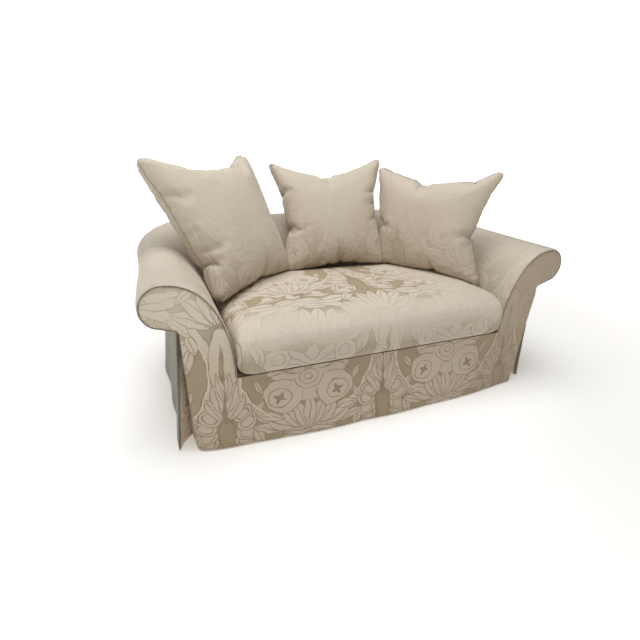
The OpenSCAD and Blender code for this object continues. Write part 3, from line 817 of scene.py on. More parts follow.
class Tree:
    """A small builder of shader nodes; sockets combine in the order in which they are made."""

    def __init__(self, name):
        self.mat = bpy.data.materials.new(name)
        self.mat.use_nodes = True
        self.nt = self.mat.node_tree
        self.nt.nodes.clear()
        self.out = self.nt.nodes.new("ShaderNodeOutputMaterial")
        self.bsdf = self.nt.nodes.new("ShaderNodeBsdfPrincipled")
        self.nt.links.new(self.bsdf.outputs[0], self.out.inputs["Surface"])

    def put(self, socket, v):
        if isinstance(v, bpy.types.NodeSocket):
            self.nt.links.new(v, socket)
        else:
            socket.default_value = v

    def node(self, kind, **props):
        n = self.nt.nodes.new(kind)
        for k, v in props.items():
            setattr(n, k, v)
        return n

    def math(self, op, a, b=None, c=None, clamp=False):
        n = self.node("ShaderNodeMath", operation=op, use_clamp=clamp)
        for i, v in enumerate((a, b, c)):
            if v is not None:
                self.put(n.inputs[i], v)
        return n.outputs[0]

    def uv(self, name="cloth"):
        return self.node("ShaderNodeUVMap", uv_map=name).outputs[0]

    def coord(self):
        return self.node("ShaderNodeTexCoord").outputs["Object"]

    def scaled(self, v, s, loc=(0, 0, 0), rot=(0, 0, 0)):
        n = self.node("ShaderNodeMapping")
        self.put(n.inputs["Vector"], v)
        n.inputs["Scale"].default_value = s
        n.inputs["Location"].default_value = loc
        n.inputs["Rotation"].default_value = rot
        return n.outputs[0]

    def noise(self, v, scale=1.0, detail=3.0, rough=0.55, dist=0.0):
        n = self.node("ShaderNodeTexNoise")
        self.put(n.inputs["Vector"], v)
        n.inputs["Scale"].default_value = scale
        n.inputs["Detail"].default_value = detail
        n.inputs["Roughness"].default_value = rough
        n.inputs["Distortion"].default_value = dist
        return n.outputs[0]

    def voronoi(self, v, scale=1.0, feature="F1"):
        n = self.node("ShaderNodeTexVoronoi", feature=feature)
        self.put(n.inputs["Vector"], v)
        n.inputs["Scale"].default_value = scale
        return n.outputs["Distance"]

    def wave(self, v, scale=1.0, axis="X", dist=0.0, detail=2.0):
        n = self.node("ShaderNodeTexWave", wave_type="BANDS", bands_direction=axis)
        self.put(n.inputs["Vector"], v)
        n.inputs["Scale"].default_value = scale
        n.inputs["Distortion"].default_value = dist
        n.inputs["Detail"].default_value = detail
        return n.outputs["Fac"]

    def ramp(self, v, lo, hi, a=0.0, b=1.0):
        n = self.node("ShaderNodeMapRange", interpolation_type="SMOOTHSTEP")
        self.put(n.inputs["Value"], v)
        for k, x in zip(("From Min", "From Max", "To Min", "To Max"), (lo, hi, a, b)):
            self.put(n.inputs[k], x)
        return n.outputs["Result"]

    def mix(self, f, a, b):
        n = self.node("ShaderNodeMix", data_type="RGBA")
        self.put(n.inputs[0], f)
        self.put(n.inputs[6], a)
        self.put(n.inputs[7], b)
        return n.outputs[2]

    def mix_value(self, f, a, b):
        return self.math("MULTIPLY_ADD", f, self.math("SUBTRACT", b, a), a)

    def bump(self, height, strength=0.3, distance=0.001, normal=None):
        n = self.node("ShaderNodeBump")
        self.put(n.inputs["Height"], height)
        n.inputs["Strength"].default_value = strength
        n.inputs["Distance"].default_value = distance
        if normal is not None:
            self.put(n.inputs["Normal"], normal)
        return n.outputs[0]

    def set(self, **kw):
        names = {"base": "Base Color", "rough": "Roughness", "metal": "Metallic", "normal": "Normal", "sheen": "Sheen Weight",
                 "sheen_rough": "Sheen Roughness", "sheen_tint": "Sheen Tint", "spec": "Specular IOR Level", "coat": "Coat Weight", "coat_rough": "Coat Roughness", "aniso": "Anisotropic"}
        for k, v in kw.items():
            self.put(self.bsdf.inputs[names[k]], v)
        return self.mat


def timber_finish(name, dark, light, axis=0, scale=1.0, rough=0.55, coat=0.0):
    t = Tree(name)
    c = t.coord()
    s = [34.0 * scale] * 3
    s[axis] = 2.2 * scale
    v = t.scaled(c, tuple(s))
    rings = t.wave(v, 0.55, "DIAGONAL", 9.0, 3.0)
    fibre = t.noise(t.scaled(c, tuple(9 * k for k in s)), 1.0, 4.0, 0.7)
    tone = t.math("MULTIPLY_ADD", fibre, 0.45, t.math("MULTIPLY", rings, 0.55))
    t.set(base=t.mix(tone, srgb(*dark), srgb(*light)), rough=t.ramp(fibre, 0.2, 0.8, rough - 0.08, rough + 0.12), coat=coat,
          normal=t.bump(t.math("ADD", fibre, rings), 0.25, 0.0006))
    return t.mat


def metal_finish(name, col, rough=0.35):
    t = Tree(name)
    c = t.coord()
    n = t.noise(c, 60.0, 5.0, 0.7)
    fine = t.noise(t.scaled(c, (900, 900, 900)), 1.0, 2.0, 0.6)
    dark = tuple(k * 0.62 for k in col[:3]) + (1.0,)
    t.set(base=t.mix(t.ramp(n, 0.3, 0.75), dark, col), rough=t.ramp(n, 0.2, 0.8, rough - 0.1, rough + 0.18), metal=1.0, normal=t.bump(fine, 0.2, 0.0002))
    return t.mat


def woven_finish(name, a, b, pitch=0.003, rough=0.9, hairy=0.5):
    t = Tree(name)
    c = t.coord()
    k = math.pi / pitch / 3.1416 * 1.0
    w = t.wave(t.scaled(c, (1, 1, 1)), k / 3.2, "X", 0.6, 1.0)
    w2 = t.wave(t.scaled(c, (1, 1, 1)), k / 3.2, "Y", 0.6, 1.0)
    w3 = t.wave(t.scaled(c, (1, 1, 1)), k / 3.2, "Z", 0.6, 1.0)
    h = t.math("MULTIPLY", t.math("MAXIMUM", w, w2), t.math("ADD", w3, 0.4))
    n = t.noise(c, 240.0, 4.0, 0.7)
    tone = t.math("MULTIPLY_ADD", n, 0.6, t.math("MULTIPLY", h, 0.4))
    t.set(base=t.mix(tone, srgb(*a), srgb(*b)), rough=t.ramp(n, 0.2, 0.8, rough - 0.08, min(1.0, rough + 0.08)), spec=0.2, sheen=hairy, sheen_rough=0.5,
          normal=t.bump(t.math("ADD", h, n), 0.5, 0.0008))
    return t.mat


def fleece_finish(name, a, b, scale=140.0):
    t = Tree(name)
    c = t.coord()
    n = t.noise(c, scale, 5.0, 0.75, 1.2)
    m = t.noise(c, 14.0, 3.0, 0.6)
    t.set(base=t.mix(t.ramp(t.math("MULTIPLY_ADD", n, 0.7, t.math("MULTIPLY", m, 0.3)), 0.3, 0.7), srgb(*a), srgb(*b)),
          rough=t.ramp(m, 0.2, 0.8, 0.85, 0.97), spec=0.15, sheen=0.5, sheen_rough=0.6, normal=t.bump(n, 0.6, 0.0016))
    return t.mat


def foam_finish(name, a, b):
    t = Tree(name)
    c = t.coord()
    cells = t.voronoi(c, 620.0)
    n = t.noise(c, 9.0, 3.0, 0.6)
    t.set(base=t.mix(t.math("MULTIPLY_ADD", cells, 0.6, t.math("MULTIPLY", n, 0.4)), srgb(*a), srgb(*b)), rough=t.ramp(n, 0.2, 0.8, 0.82, 0.94), spec=0.2,
          normal=t.bump(cells, 0.5, 0.0007))
    return t.mat

NODE_SLOT = {}
for _n in frame["nodes"]:
    _s = "hardwood"
    if _n == "deck_cover":
        _s = "deck_cloth"
    elif _n == "seat_cushion_zip":
        _s = "zip_tape"
    elif _n == "zip_slider":
        _s = "zip_brass"
    elif _n == "dust_cover":
        _s = "dust_cloth"
    elif _n in ("seat_cushion_core", "front_edge_roll"):
        _s = "foam"
    elif _n.endswith("padding") or _n.endswith("insert") or _n in ("deck_pad", "seat_cushion_wrap"):
        _s = "wadding"
    elif _n in ("seat_burlap", "arm_webbing", "back_webbing"):
        _s = "jute"
    elif _n in ("corner_block_screws", "leg_bolts", "seat_springs", "spring_clips", "spring_tie_wires"):
        _s = "steel"
    elif _n == "glides":
        _s = "nylon"
    elif _n in ("left_scroll_board", "right_scroll_board", "frame_dowels"):
        _s = "plywood"
    NODE_SLOT[_n] = _s

WADDING = fleece_finish("fibre_wadding", (226, 223, 212), (246, 245, 239))


# The damask: half a repeat, 0.65 m across and 0.66 m high, mirrored about the axis of the large motif.
# e = round form, l = pointed leaf with a vein, j = round form joined to what lies under it;
# s = scalloped petal; then distance from the axis, height, half-length, half-width and turn in degrees.
FIG = [
    ("e", 0.325, 0.350, 0.050, 0.150, 0),
    ("s", 0.262, 0.024, 0.036, 0.026, 34),
    ("s", 0.250, 0.058, 0.042, 0.030, 4),
    ("s", 0.248, 0.098, 0.044, 0.031, -22),
    ("s", 0.262, 0.138, 0.042, 0.028, -42),
    ("l", 0.284, 0.168, 0.064, 0.022, -60),
    ("l", 0.298, 0.214, 0.066, 0.021, -76),
    ("l", 0.311, 0.262, 0.058, 0.015, -84),
    ("l", 0.206, 0.030, 0.046, 0.017, 64),
    ("l", 0.100, 0.000, 0.062, 0.016, -7),
    ("l", 0.226, 0.000, 0.050, 0.014, 9),
    ("e", 0.000, 0.002, 0.034, 0.015, 0),
    ("l", 0.176, 0.052, 0.056, 0.019, 16),
    ("l", 0.046, 0.028, 0.070, 0.019, -4),
    ("l", 0.118, 0.062, 0.064, 0.024, 22),
    ("l", 0.154, 0.098, 0.046, 0.019, 6),
    ("l", 0.078, 0.084, 0.060, 0.025, 50),
    ("l", 0.038, 0.094, 0.066, 0.025, 72),
    ("l", 0.000, 0.100, 0.024, 0.074, 90),
    ("j", 0.000, 0.172, 0.052, 0.028, 0),
    ("j", 0.000, 0.292, 0.168, 0.074, 0),
    ("e", 0.108, 0.182, 0.080, 0.070, 18),
    ("j", 0.044, 0.218, 0.066, 0.032, -14),
    ("e", 0.000, 0.250, 0.038, 0.034, 0),
    ("e", 0.120, 0.174, 0.046, 0.041, 0),
    ("l", 0.200, 0.232, 0.036, 0.013, 62),
    ("l", 0.204, 0.142, 0.036, 0.014, 122),
    ("e", 0.000, 0.338, 0.030, 0.052, 0),
    ("l", 0.060, 0.340, 0.080, 0.030, 28),
    ("l", 0.084, 0.304, 0.050, 0.016, -6),
    ("e", 0.138, 0.346, 0.050, 0.045, 0),
    ("l", 0.206, 0.384, 0.060, 0.023, 70),
    ("l", 0.174, 0.426, 0.064, 0.027, 38),
    ("l", 0.128, 0.452, 0.074, 0.029, 50),
    ("l", 0.084, 0.470, 0.084, 0.030, 62),
    ("l", 0.042, 0.482, 0.086, 0.030, 76),
    ("l", 0.000, 0.484, 0.030, 0.088, 90),
    ("l", 0.226, 0.448, 0.040, 0.016, 108),
    ("l", 0.190, 0.512, 0.052, 0.021, 132),
    ("l", 0.052, 0.570, 0.060, 0.019, 168),
    ("l", 0.232, 0.532, 0.074, 0.027, 150),
    ("l", 0.256, 0.562, 0.078, 0.028, 130),
    ("l", 0.290, 0.578, 0.076, 0.027, 110),
    ("l", 0.325, 0.582, 0.027, 0.074, 90),
    ("l", 0.150, 0.612, 0.080, 0.028, 6),
    ("l", 0.222, 0.622, 0.046, 0.016, 38),
    ("l", 0.046, 0.622, 0.062, 0.022, -8),
]
CUTS = [    # slits of bare ground
    (0.325, 0.352, 0.007, 0.060, 0),
    (0.325, 0.062, 0.028, 0.074, 0),
    (0.325, 0.186, 0.004, 0.062, 0),
    (0.120, 0.174, 0.0055, 0.021, 30),
    (0.120, 0.174, 0.019, 0.0055, 22),
]
CURLS = [(0.130, 0.350, 0.024), (0.000, 0.250, 0.014)]
ARCS = [(0.000, 0.256, 0.060, 0.020, 0.200, 0.060), (0.106, 0.182, 0.100, 0.120, 0.282, 0.062), (0.060, 0.330, 0.060, 0.080, 0.276, 0.040),
        (0.138, 0.346, 0.066, 0.190, 0.330, 0.050)]


class FigureTree(Tree):
    """The woven figure as a node group: cloth coordinates in, signed distances in metres out."""

    def __init__(self, name):
        self.nt = bpy.data.node_groups.new(name, "ShaderNodeTree")
        self.nt.interface.new_socket(name="cloth", in_out="INPUT", socket_type="NodeSocketVector")
        for s in ("figure", "lines", "band"):
            self.nt.interface.new_socket(name=s, in_out="OUTPUT", socket_type="NodeSocketFloat")
        self.start = self.nt.nodes.new("NodeGroupInput").outputs[0]
        self.end = self.nt.nodes.new("NodeGroupOutput")

    def vec(self, op, a, b=None, scale=None):
        n = self.node("ShaderNodeVectorMath", operation=op)
        self.put(n.inputs[0], a)
        if b is not None:
            self.put(n.inputs[1], b)
        if scale is not None:
            n.inputs["Scale"].default_value = scale
        return n.outputs["Value" if op in ("LENGTH", "DISTANCE") else "Vector"]

    def local(self, p, a, v, rot, sx=1.0, sy=1.0):
        n = self.node("ShaderNodeMapping", vector_type="TEXTURE")
        self.put(n.inputs["Vector"], p)
        n.inputs["Location"].default_value = (a, v, 0)
        n.inputs["Rotation"].default_value = (0, 0, math.radians(rot))
        n.inputs["Scale"].default_value = (sx, sy, 1)
        return n.outputs[0]

    def ell(self, p, a, v, rx, ry, rot):
        m = min(rx, ry)
        return self.math("MULTIPLY_ADD", self.vec("LENGTH", self.local(p, a, v, rot, rx, ry)), m, -m)

    def leaf(self, p, a, v, rx, ry, rot):
        n, w = max(rx, ry), min(rx, ry)
        r = (n * n + w * w) / (2 * w)
        q = self.vec("ABSOLUTE", self.local(p, a, v, rot))
        e = self.math("SUBTRACT", self.vec("DISTANCE", q, (0, w - r, 0)), r)
        s = self.node("ShaderNodeSeparateXYZ")
        self.put(s.inputs[0], q)
        return e, self.math("MAXIMUM", s.outputs[1], self.math("ADD", e, 0.007))


def damask_figure():
    t = FigureTree("damask_figure")
    drift = t.node("ShaderNodeTexNoise")
    t.put(drift.inputs["Vector"], t.start)
    drift.inputs["Scale"].default_value = 13.0
    drift.inputs["Detail"].default_value = 3.0
    drift.inputs["Roughness"].default_value = 0.5
    shift = t.vec("SCALE", t.vec("SUBTRACT", drift.outputs["Color"], (0.5, 0.5, 0.5)), scale=0.036)
    s = t.node("ShaderNodeSeparateXYZ")
    t.put(s.inputs[0], t.vec("ADD", t.start, shift))
    a = t.math("SUBTRACT", 0.325, t.math("PINGPONG", s.outputs[0], 0.325))
    v = t.math("WRAP", s.outputs[1], 0.64, -0.02)
    c = t.node("ShaderNodeCombineXYZ")
    t.put(c.inputs[0], a)
    t.put(c.inputs[1], v)
    p = c.outputs[0]
    rim = t.vec("DISTANCE", p, (0.0, 0.320, 0.0))
    band = t.math("MAXIMUM", t.math("ABSOLUTE", t.math("SUBTRACT", rim, 0.2715)), t.math("MULTIPLY_ADD", a, -0.06, 0.0096))
    d = t.math("SUBTRACT", t.math("ABSOLUTE", t.math("SUBTRACT", rim, 0.286)), 0.0195)
    line = t.math("ABSOLUTE", d)
    for kind, fa, fv, rx, ry, rot in FIG:
        vein = None
        if kind == "l":
            e, vein = t.leaf(p, fa, fv, rx, ry, rot)
        else:
            e = t.ell(p, fa, fv, rx, ry, rot)
        d = t.math("MINIMUM", d, e)
        line = t.math("MAXIMUM", line, t.math("MULTIPLY", e, -4.0))
        if kind != "j":
            line = t.math("MINIMUM", t.math("ABSOLUTE", e), line)
        if vein is not None:
            line = t.math("MINIMUM", line, vein)
        if kind == "s":
            line = t.math("MINIMUM", line, t.math("ABSOLUTE", t.math("ADD", e, 0.010)))
    for fa, fv, r, ma, mv, mr in ARCS:
        e = t.math("ABSOLUTE", t.math("SUBTRACT", t.vec("DISTANCE", p, (fa, fv, 0.0)), r))
        e = t.math("MAXIMUM", e, t.math("SUBTRACT", t.vec("DISTANCE", p, (ma, mv, 0.0)), mr))
        line = t.math("MINIMUM", line, e)
    for fa, fv, r in CURLS:
        e = t.math("ABSOLUTE", t.math("SUBTRACT", t.vec("DISTANCE", p, (fa, fv, 0.0)), r))
        line = t.math("MINIMUM", line, e)
    for fa, fv, rx, ry, rot in CUTS:
        e = t.ell(p, fa, fv, rx, ry, rot)
        d = t.math("MAXIMUM", d, t.math("MULTIPLY", e, -1.0))
        line = t.math("MINIMUM", line, t.math("ABSOLUTE", e))
    for k, out in enumerate((d, line, band)):
        t.put(t.end.inputs[k], out)
    return t.nt


FIGURE = damask_figure()

# ground, motif, drawn line and light line of the cloth, per kind of piece
CLOTH = {
    "body": ((172, 157, 134), (203, 192, 174), (158, 141, 117), (218, 209, 193)),
    "face": ((170, 150, 121), (205, 190, 168), (144, 122, 94), (224, 210, 190)),
    "cushion": ((174, 157, 128), (214, 202, 183), (152, 134, 108), (228, 219, 203)),
    "pillow": ((177, 160, 133), (201, 188, 169), (152, 134, 108), (216, 205, 187)),
    # painted shade: the back cover is greyer and darker than the arms, standing in for the shade behind the seam across
    # the arm roll
    "back": ((164, 151, 131), (190, 180, 164), (148, 132, 110), (206, 198, 184)),
    # painted shade: the side panels are darkened and greyed, standing in for the shade under the arms' overhang
    "skirt": ((120, 114, 102), (139, 133, 122), (109, 102, 90), (152, 147, 136)),
    # painted shade: the rear panel and rear pleats are darkened like the side panels, less deeply
    "rear": ((142, 134, 120), (164, 156, 143), (128, 119, 105), (179, 172, 159)),
    # painted light: the front pleats are made paler, standing in for light on a pleat that would otherwise sit in shade
    "pleat": ((202, 178, 145), (232, 216, 192), (172, 147, 114), (242, 230, 210)),
}


FAINT = {"body": 0.05, "back": 0.05, "face": 0.10, "cushion": 0.08, "pillow": 0.0, "skirt": 0.05, "rear": 0.05, "pleat": 0.10}


def strength(t, kind, uv):
    """How strongly the figure stands out from the ground: painted sheen, the figure fading by position on each piece as
    if the satin ground caught a reflection.
    """
    o = t.coord()
    s = t.node("ShaderNodeSeparateXYZ")
    t.put(s.inputs[0], o)
    x, y, z = s.outputs
    n = t.math("MULTIPLY_ADD", t.noise(o, 5.0, 2.0, 0.5), 0.24, -0.12)
    if kind in ("face", "pleat"):
        low = t.ramp(t.math("ADD", z, n), 0.60, 0.40, 0.34, 0.95)
        far = t.math("MAXIMUM", t.ramp(z, 0.36, 0.24), t.ramp(x, 0.64, 0.54))
        return t.math("MULTIPLY", low, t.math("MULTIPLY_ADD", far, 0.62, 0.38))
    if kind == "cushion":
        top = t.math("MULTIPLY", t.ramp(t.math("ADD", y, n), -0.44, -0.30), t.ramp(t.math("ADD", x, n), 0.42, 0.18, 0.14, 1.0))
        front = t.ramp(t.math("ADD", z, t.math("MULTIPLY", n, 0.5)), 0.42, 0.34, 0.0, 0.72)
        return t.math("MAXIMUM", t.math("MAXIMUM", top, front), 0.07)
    if kind == "pillow":
        return t.ramp(t.math("ADD", z, t.math("MULTIPLY", n, 1.4)), 0.80, 0.54, 0.07, 0.50)
    if kind in ("skirt", "rear"):
        return t.ramp(n, -0.06, 0.06, 0.55, 0.8)
    return t.ramp(t.math("ADD", z, n), 0.66, 0.50, 0.16, 0.50)


def damask_finish(name, kind):
    ground, motif, drawn, light = (srgb(*c) for c in CLOTH[kind])
    t = Tree(name)
    uv = t.uv()
    g = t.node("ShaderNodeGroup")
    g.node_tree = FIGURE
    t.put(g.inputs[0], uv)
    figure, lines, band = g.outputs
    m = t.ramp(figure, -0.0014, 0.0012, 1.0, 0.0)
    c = strength(t, kind, uv)
    wander = t.noise(uv, 22.0, 2.0, 0.5)
    if kind == "face":      # painted light and shade: the scrolls are painted paler towards the upper left and the motif darker towards the right, as the light falls off
        s = t.node("ShaderNodeSeparateXYZ")
        t.put(s.inputs[0], t.coord())
        painted_light_upper_left = t.math("MULTIPLY", t.ramp(s.outputs[2], 0.30, 0.56), t.ramp(s.outputs[0], 0.30, -0.30))
        motif = t.mix(painted_light_upper_left, motif, srgb(222, 211, 192))
        # painted shade: the motif darkens towards the right end of the facing
        motif = t.mix(t.ramp(s.outputs[0], 0.30, 0.80), motif, srgb(179, 163, 141))
    base = t.mix(t.math("MULTIPLY", t.math("SUBTRACT", 1.0, m), c), motif, ground)
    ink = t.math("MULTIPLY", t.ramp(lines, 0.0009, 0.0033, 1.0, 0.0), t.ramp(wander, 0.25, 0.75, 0.45, 1.0))
    base = t.mix(t.math("MULTIPLY", ink, t.math("MULTIPLY_ADD", c, 0.85, FAINT[kind])), base, drawn)
    glint = t.math("MULTIPLY", t.ramp(band, 0.0012, 0.0034, 0.75, 0.0), t.math("MULTIPLY", m, c))
    base = t.mix(glint, base, light)
    slub = t.noise(t.scaled(uv, (18, 250, 1)), 1.0, 3.0, 0.65)
    warp = t.noise(t.scaled(uv, (1500, 210, 1)), 1.0, 2.0, 0.6)
    weft = t.noise(t.scaled(uv, (210, 1500, 1)), 1.0, 2.0, 0.6)
    cloud = t.noise(uv, 4.5, 3.0, 0.55)
    shade = t.math("MULTIPLY_ADD", slub, 0.26, t.math("MULTIPLY_ADD", cloud, 0.14, 0.797))
    shade = t.math("MULTIPLY_ADD", t.math("ADD", warp, weft), 0.07, t.math("SUBTRACT", shade, 0.07))
    if kind == "cushion":      # painted shade: the lower front is darkened below the crown
        s = t.node("ShaderNodeSeparateXYZ")
        t.put(s.inputs[0], t.coord())
        shade = t.math("MULTIPLY", shade, t.ramp(s.outputs[2], 0.41, 0.33, 1.0, 0.85))
    n = t.node("ShaderNodeVectorMath", operation="SCALE")
    t.put(n.inputs[0], base)
    t.put(n.inputs["Scale"], shade)
    rough = t.math("MULTIPLY_ADD", m, 0.22, t.math("MULTIPLY_ADD", slub, 0.16, 0.46))
    height = t.math("MULTIPLY_ADD", slub, 0.8, t.math("ADD", warp, weft))
    t.set(base=n.outputs[0], rough=rough, sheen=0.3, sheen_rough=0.45, sheen_tint=srgb(240, 232, 214), spec=0.32, normal=t.bump(height, 0.32, 0.0007))
    return t.mat


def seam_finish(name, dark, light):
    t = Tree(name)
    c = t.coord()
    n = t.noise(c, 300.0, 2.0)
    twist = t.noise(t.scaled(c, (900, 900, 900)), 1.0, 2.0, 0.6)
    t.set(base=t.mix(n, srgb(*dark), srgb(*light)), rough=t.ramp(n, 0.2, 0.8, 0.68, 0.84), sheen=0.2, sheen_rough=0.5, normal=t.bump(twist, 0.5, 0.0005))
    return t.mat

# ---------------------------------------------------------------- pieces
nodes = frame["nodes"]


def add(name, mesh, replaced, body, mats, t=0.0, levels=0, row=True):
    v, f, uv = mesh
    ob = mesh_object(name, to_row(v) if row else v, f, uv)
    if t:
        thicken(ob, t, levels)
    ob.data.materials.clear()
    for m in mats if isinstance(mats, (list, tuple)) else [mats]:
        ob.data.materials.append(m)
    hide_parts(*replaced)
    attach(ob, body)
    return ob


def tree_of(ob):
    me = ob.data
    return BVHTree.FromPolygons([v.co.copy() for v in me.vertices], [tuple(p.vertices) for p in me.polygons])


BACK_PAINTED_SHADE, REAR_PAINTED_SHADE, PLEAT_PAINTED_LIGHT, PILLOW_CORD = damask_finish("back_damask_painted_shade", "back"), damask_finish("rear_damask_painted_shade", "rear"), damask_finish("pleat_damask_painted_light", "pleat"), seam_finish("pillow_cord", (146, 130, 106), (184, 170, 148))
BODY, FACE, CUSH, PIL, SKIRT_PAINTED_SHADE, SEAM = damask_finish("body_damask", "body"), damask_finish("facing_damask", "face"), damask_finish("cushion_damask", "cushion"), damask_finish("pillow_damask", "pillow"), damask_finish("skirt_damask_painted_shade", "skirt"), seam_finish("scroll_cord", (96, 80, 60), (134, 114, 90))

add("right_arm", arm_cover(1.3), ["right_arm_cover"], "root", BODY, 0.003)
add("left_arm", mirrored(*arm_cover(4.1)), ["left_arm_cover"], "root", BODY, 0.003)
add("back", back_cover(2.2), ["back_cover"], "root", BACK_PAINTED_SHADE, 0.003)
add("front", facing(), ["front_panel"], "root", FACE, 0.0022)
v, f, uv = side_skirt()
add("right_skirt", (v, f, uv), ["right_side_panel"], "root", SKIRT_PAINTED_SHADE, 0.0022)
add("left_skirt", mirrored(v, f, uv), ["left_side_panel"], "root", SKIRT_PAINTED_SHADE, 0.0022)
v, f, uv = front_pleat()
add("right_front_pleat", (v, f, uv), ["front_right_pleat"], "root", PLEAT_PAINTED_LIGHT, 0.0018)
add("left_front_pleat", mirrored(v, f, uv), ["front_left_pleat"], "root", PLEAT_PAINTED_LIGHT, 0.0018)
add("rear_skirt", rear_skirt(), ["rear_panel"], "root", REAR_PAINTED_SHADE, 0.0022)
v, f, uv = rear_pleat()
add("right_rear_pleat", (v, f, uv), ["rear_right_pleat"], "root", REAR_PAINTED_SHADE, 0.0018)
add("left_rear_pleat", mirrored(v, f, uv), ["rear_left_pleat"], "root", REAR_PAINTED_SHADE, 0.0018)
wp = welt_path()
v, f, uv = tube(resample(wp, 150)[0], 0.0014, 10)
# the inside edge of the arm cover shows a second, finer seam a finger's width behind the welt
inner = [i for i in range(len(wp)) if i < np.argmax(wp[:, 2]) * 0.92]
arm_tree = tree_of(bpy.data.objects["right_arm"])
second = []
for q in resample(to_row(wp[inner] + np.array([0, 0.0125, 0])), 110)[0]:
    hit = arm_tree.find_nearest(Vector(q))
    second.append(np.array(hit[0]) + np.array(hit[1]) * 0.0002 + np.array([0, YM, 0]))
v2, f2, uv2 = tube(np.array(second), 0.0011, 6)
v, f, uv = np.concatenate([v, v2]), list(f) + [tuple(i + len(v) for i in q) for q in f2], np.concatenate([uv, uv2])
add("right_welt", (v, f, uv), ["right_scroll_welt"], "root", SEAM)
add("left_welt", mirrored(v, f, uv), ["left_scroll_welt"], "root", SEAM)

# the panels that hang from the seat line with a free hem, each listed with the size of its cut and the parts above it;
# the loop only looks each one up
for name, flat, top in (
        ("front", (1.86, 0.66), ["front_seat_rail", "right_scroll_board", "left_scroll_board"]),
        ("right_skirt", (0.86, 0.515), ["right_arm_cover", "right_side_rail"]), ("left_skirt", (0.86, 0.515), ["left_arm_cover", "left_side_rail"]),
        ("rear_skirt", (1.63, 0.52), ["back_cover", "rear_seat_rail"]),
        ("right_front_pleat", (0.105, 0.49), ["right_side_panel"]), ("left_front_pleat", (0.105, 0.49), ["left_side_panel"]),
        ("right_rear_pleat", (0.075, 0.515), ["rear_panel"]), ("left_rear_pleat", (0.075, 0.515), ["rear_panel"])):
    ob = bpy.data.objects[name]

# painted shadow: a dark brown cord laid along the edge of the deck, in the gap under the front of the cushion, stands
# in for the shadow there
front_tree = tree_of(bpy.data.objects["front"])
edge = []
for x in np.linspace(-SEAT_W + 0.006, SEAT_W - 0.006, 140):
    hit = front_tree.ray_cast(Vector((x, -YM - 0.3, DECK_Z - 0.0031)), Vector((0, 1, 0)))
    edge.append(np.array(hit[0]) + np.array([0, 0.0009, 0]))
v, f, uv = tube(np.array(edge), 0.0030, 8)
shadow_cord_ob = mesh_object("cushion_gap_shadow_cord", v, f, uv)
shadow_cord_ob.data.materials.append(seam_finish("gap_shadow_brown", (58, 47, 37), (86, 71, 56)))
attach(shadow_cord_ob, "root")

# the bench cushion: a filled wrap with an end piece sewn in at each side
cv, cf = cushion_mesh()
cush = mesh_object("seat_cushion", to_row(cv), cf, None)
run_cloth(cush, 1.2, 12, 30, 0.5, quality=4, mass=0.3, cap=0.004)
co = coords(cush)
nn = normals(cush)
y0, z0 = co[:, 1] + YM, co[:, 2]
crown = sm((z0 - 0.40) / 0.06)
front_wall = sm((0.02 - y0) / 0.03) * sm((z0 - 0.30) / 0.02)
nz = fbm_arr(co, 5.0, 7.7, 2)
rip = fbm_arr(co * np.array([1.0, 0.35, 1.0]), 26.0, 1.1, 3)
end = sm((np.abs(co[:, 0]) - 0.46) / 0.1)
radial = 0.0016 * np.sin(co[:, 1] * 150 + 3 * np.sin(co[:, 1] * 37)) * end * crown
co = co + nn * ((0.0022 * nz + 0.0007 * rip) * np.maximum(crown, front_wall) + radial)[:, None]
lowest = DECK_Z + 0.0009
co[:, 2] = np.maximum(co[:, 2], lowest)
co[:, 0] = np.clip(co[:, 0], -(SEAT_W - 0.0025), SEAT_W - 0.0025)
set_coords(cush, co)
set_uv(cush, cushion_uv(co))
cush.data.materials.append(CUSH)
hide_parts("seat_cushion_cover")
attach(cush, "seat_cushion")

cush_tree = tree_of(cush)
for side, name in ((1, "right_end_seam"), (-1, "left_end_seam")):
    p = to_row(cushion_seam(side))
    p = resample(p, 260)[0]
    for k in range(3):
        for i in range(14):
            p[1:-1] = (p[:-2] + 2 * p[1:-1] + p[2:]) / 4
        out = []
        for q in p:
            hit = cush_tree.find_nearest(Vector(q))
            out.append(np.array(hit[0]) + np.array(hit[1]) * 0.0004)
        p = np.array(out)
    v, f, uv = tube(p, 0.0016, 8)
    ob = mesh_object(name, v, f, uv)
    ob.data.materials.append(PILLOW_CORD)
    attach(ob, "seat_cushion")

wv, wf = cushion_mesh(-0.0045)
wrap = mesh_object("cushion_wadding", to_row(wv) * np.array([1, 1, 1]) + np.array([0, 0, 0]), wf, None)
wc = coords(wrap)
for i in range(len(wc)):
    hit = cush_tree.find_nearest(Vector(wc[i]))
    d = (Vector(wc[i]) - hit[0]).dot(hit[1])
    if d > -0.0035:
        wc[i] = np.array(hit[0]) - np.array(hit[1]) * 0.0035
wc[:, 2] = np.maximum(wc[:, 2], DECK_Z + 0.0035)
set_coords(wrap, wc)
wrap.data.materials.append(WADDING)
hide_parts("seat_cushion_wrap")
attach(wrap, "seat_cushion")

# the scatter pillows
arms_tree = [tree_of(bpy.data.objects[n]) for n in ("right_arm", "left_arm", "back")]


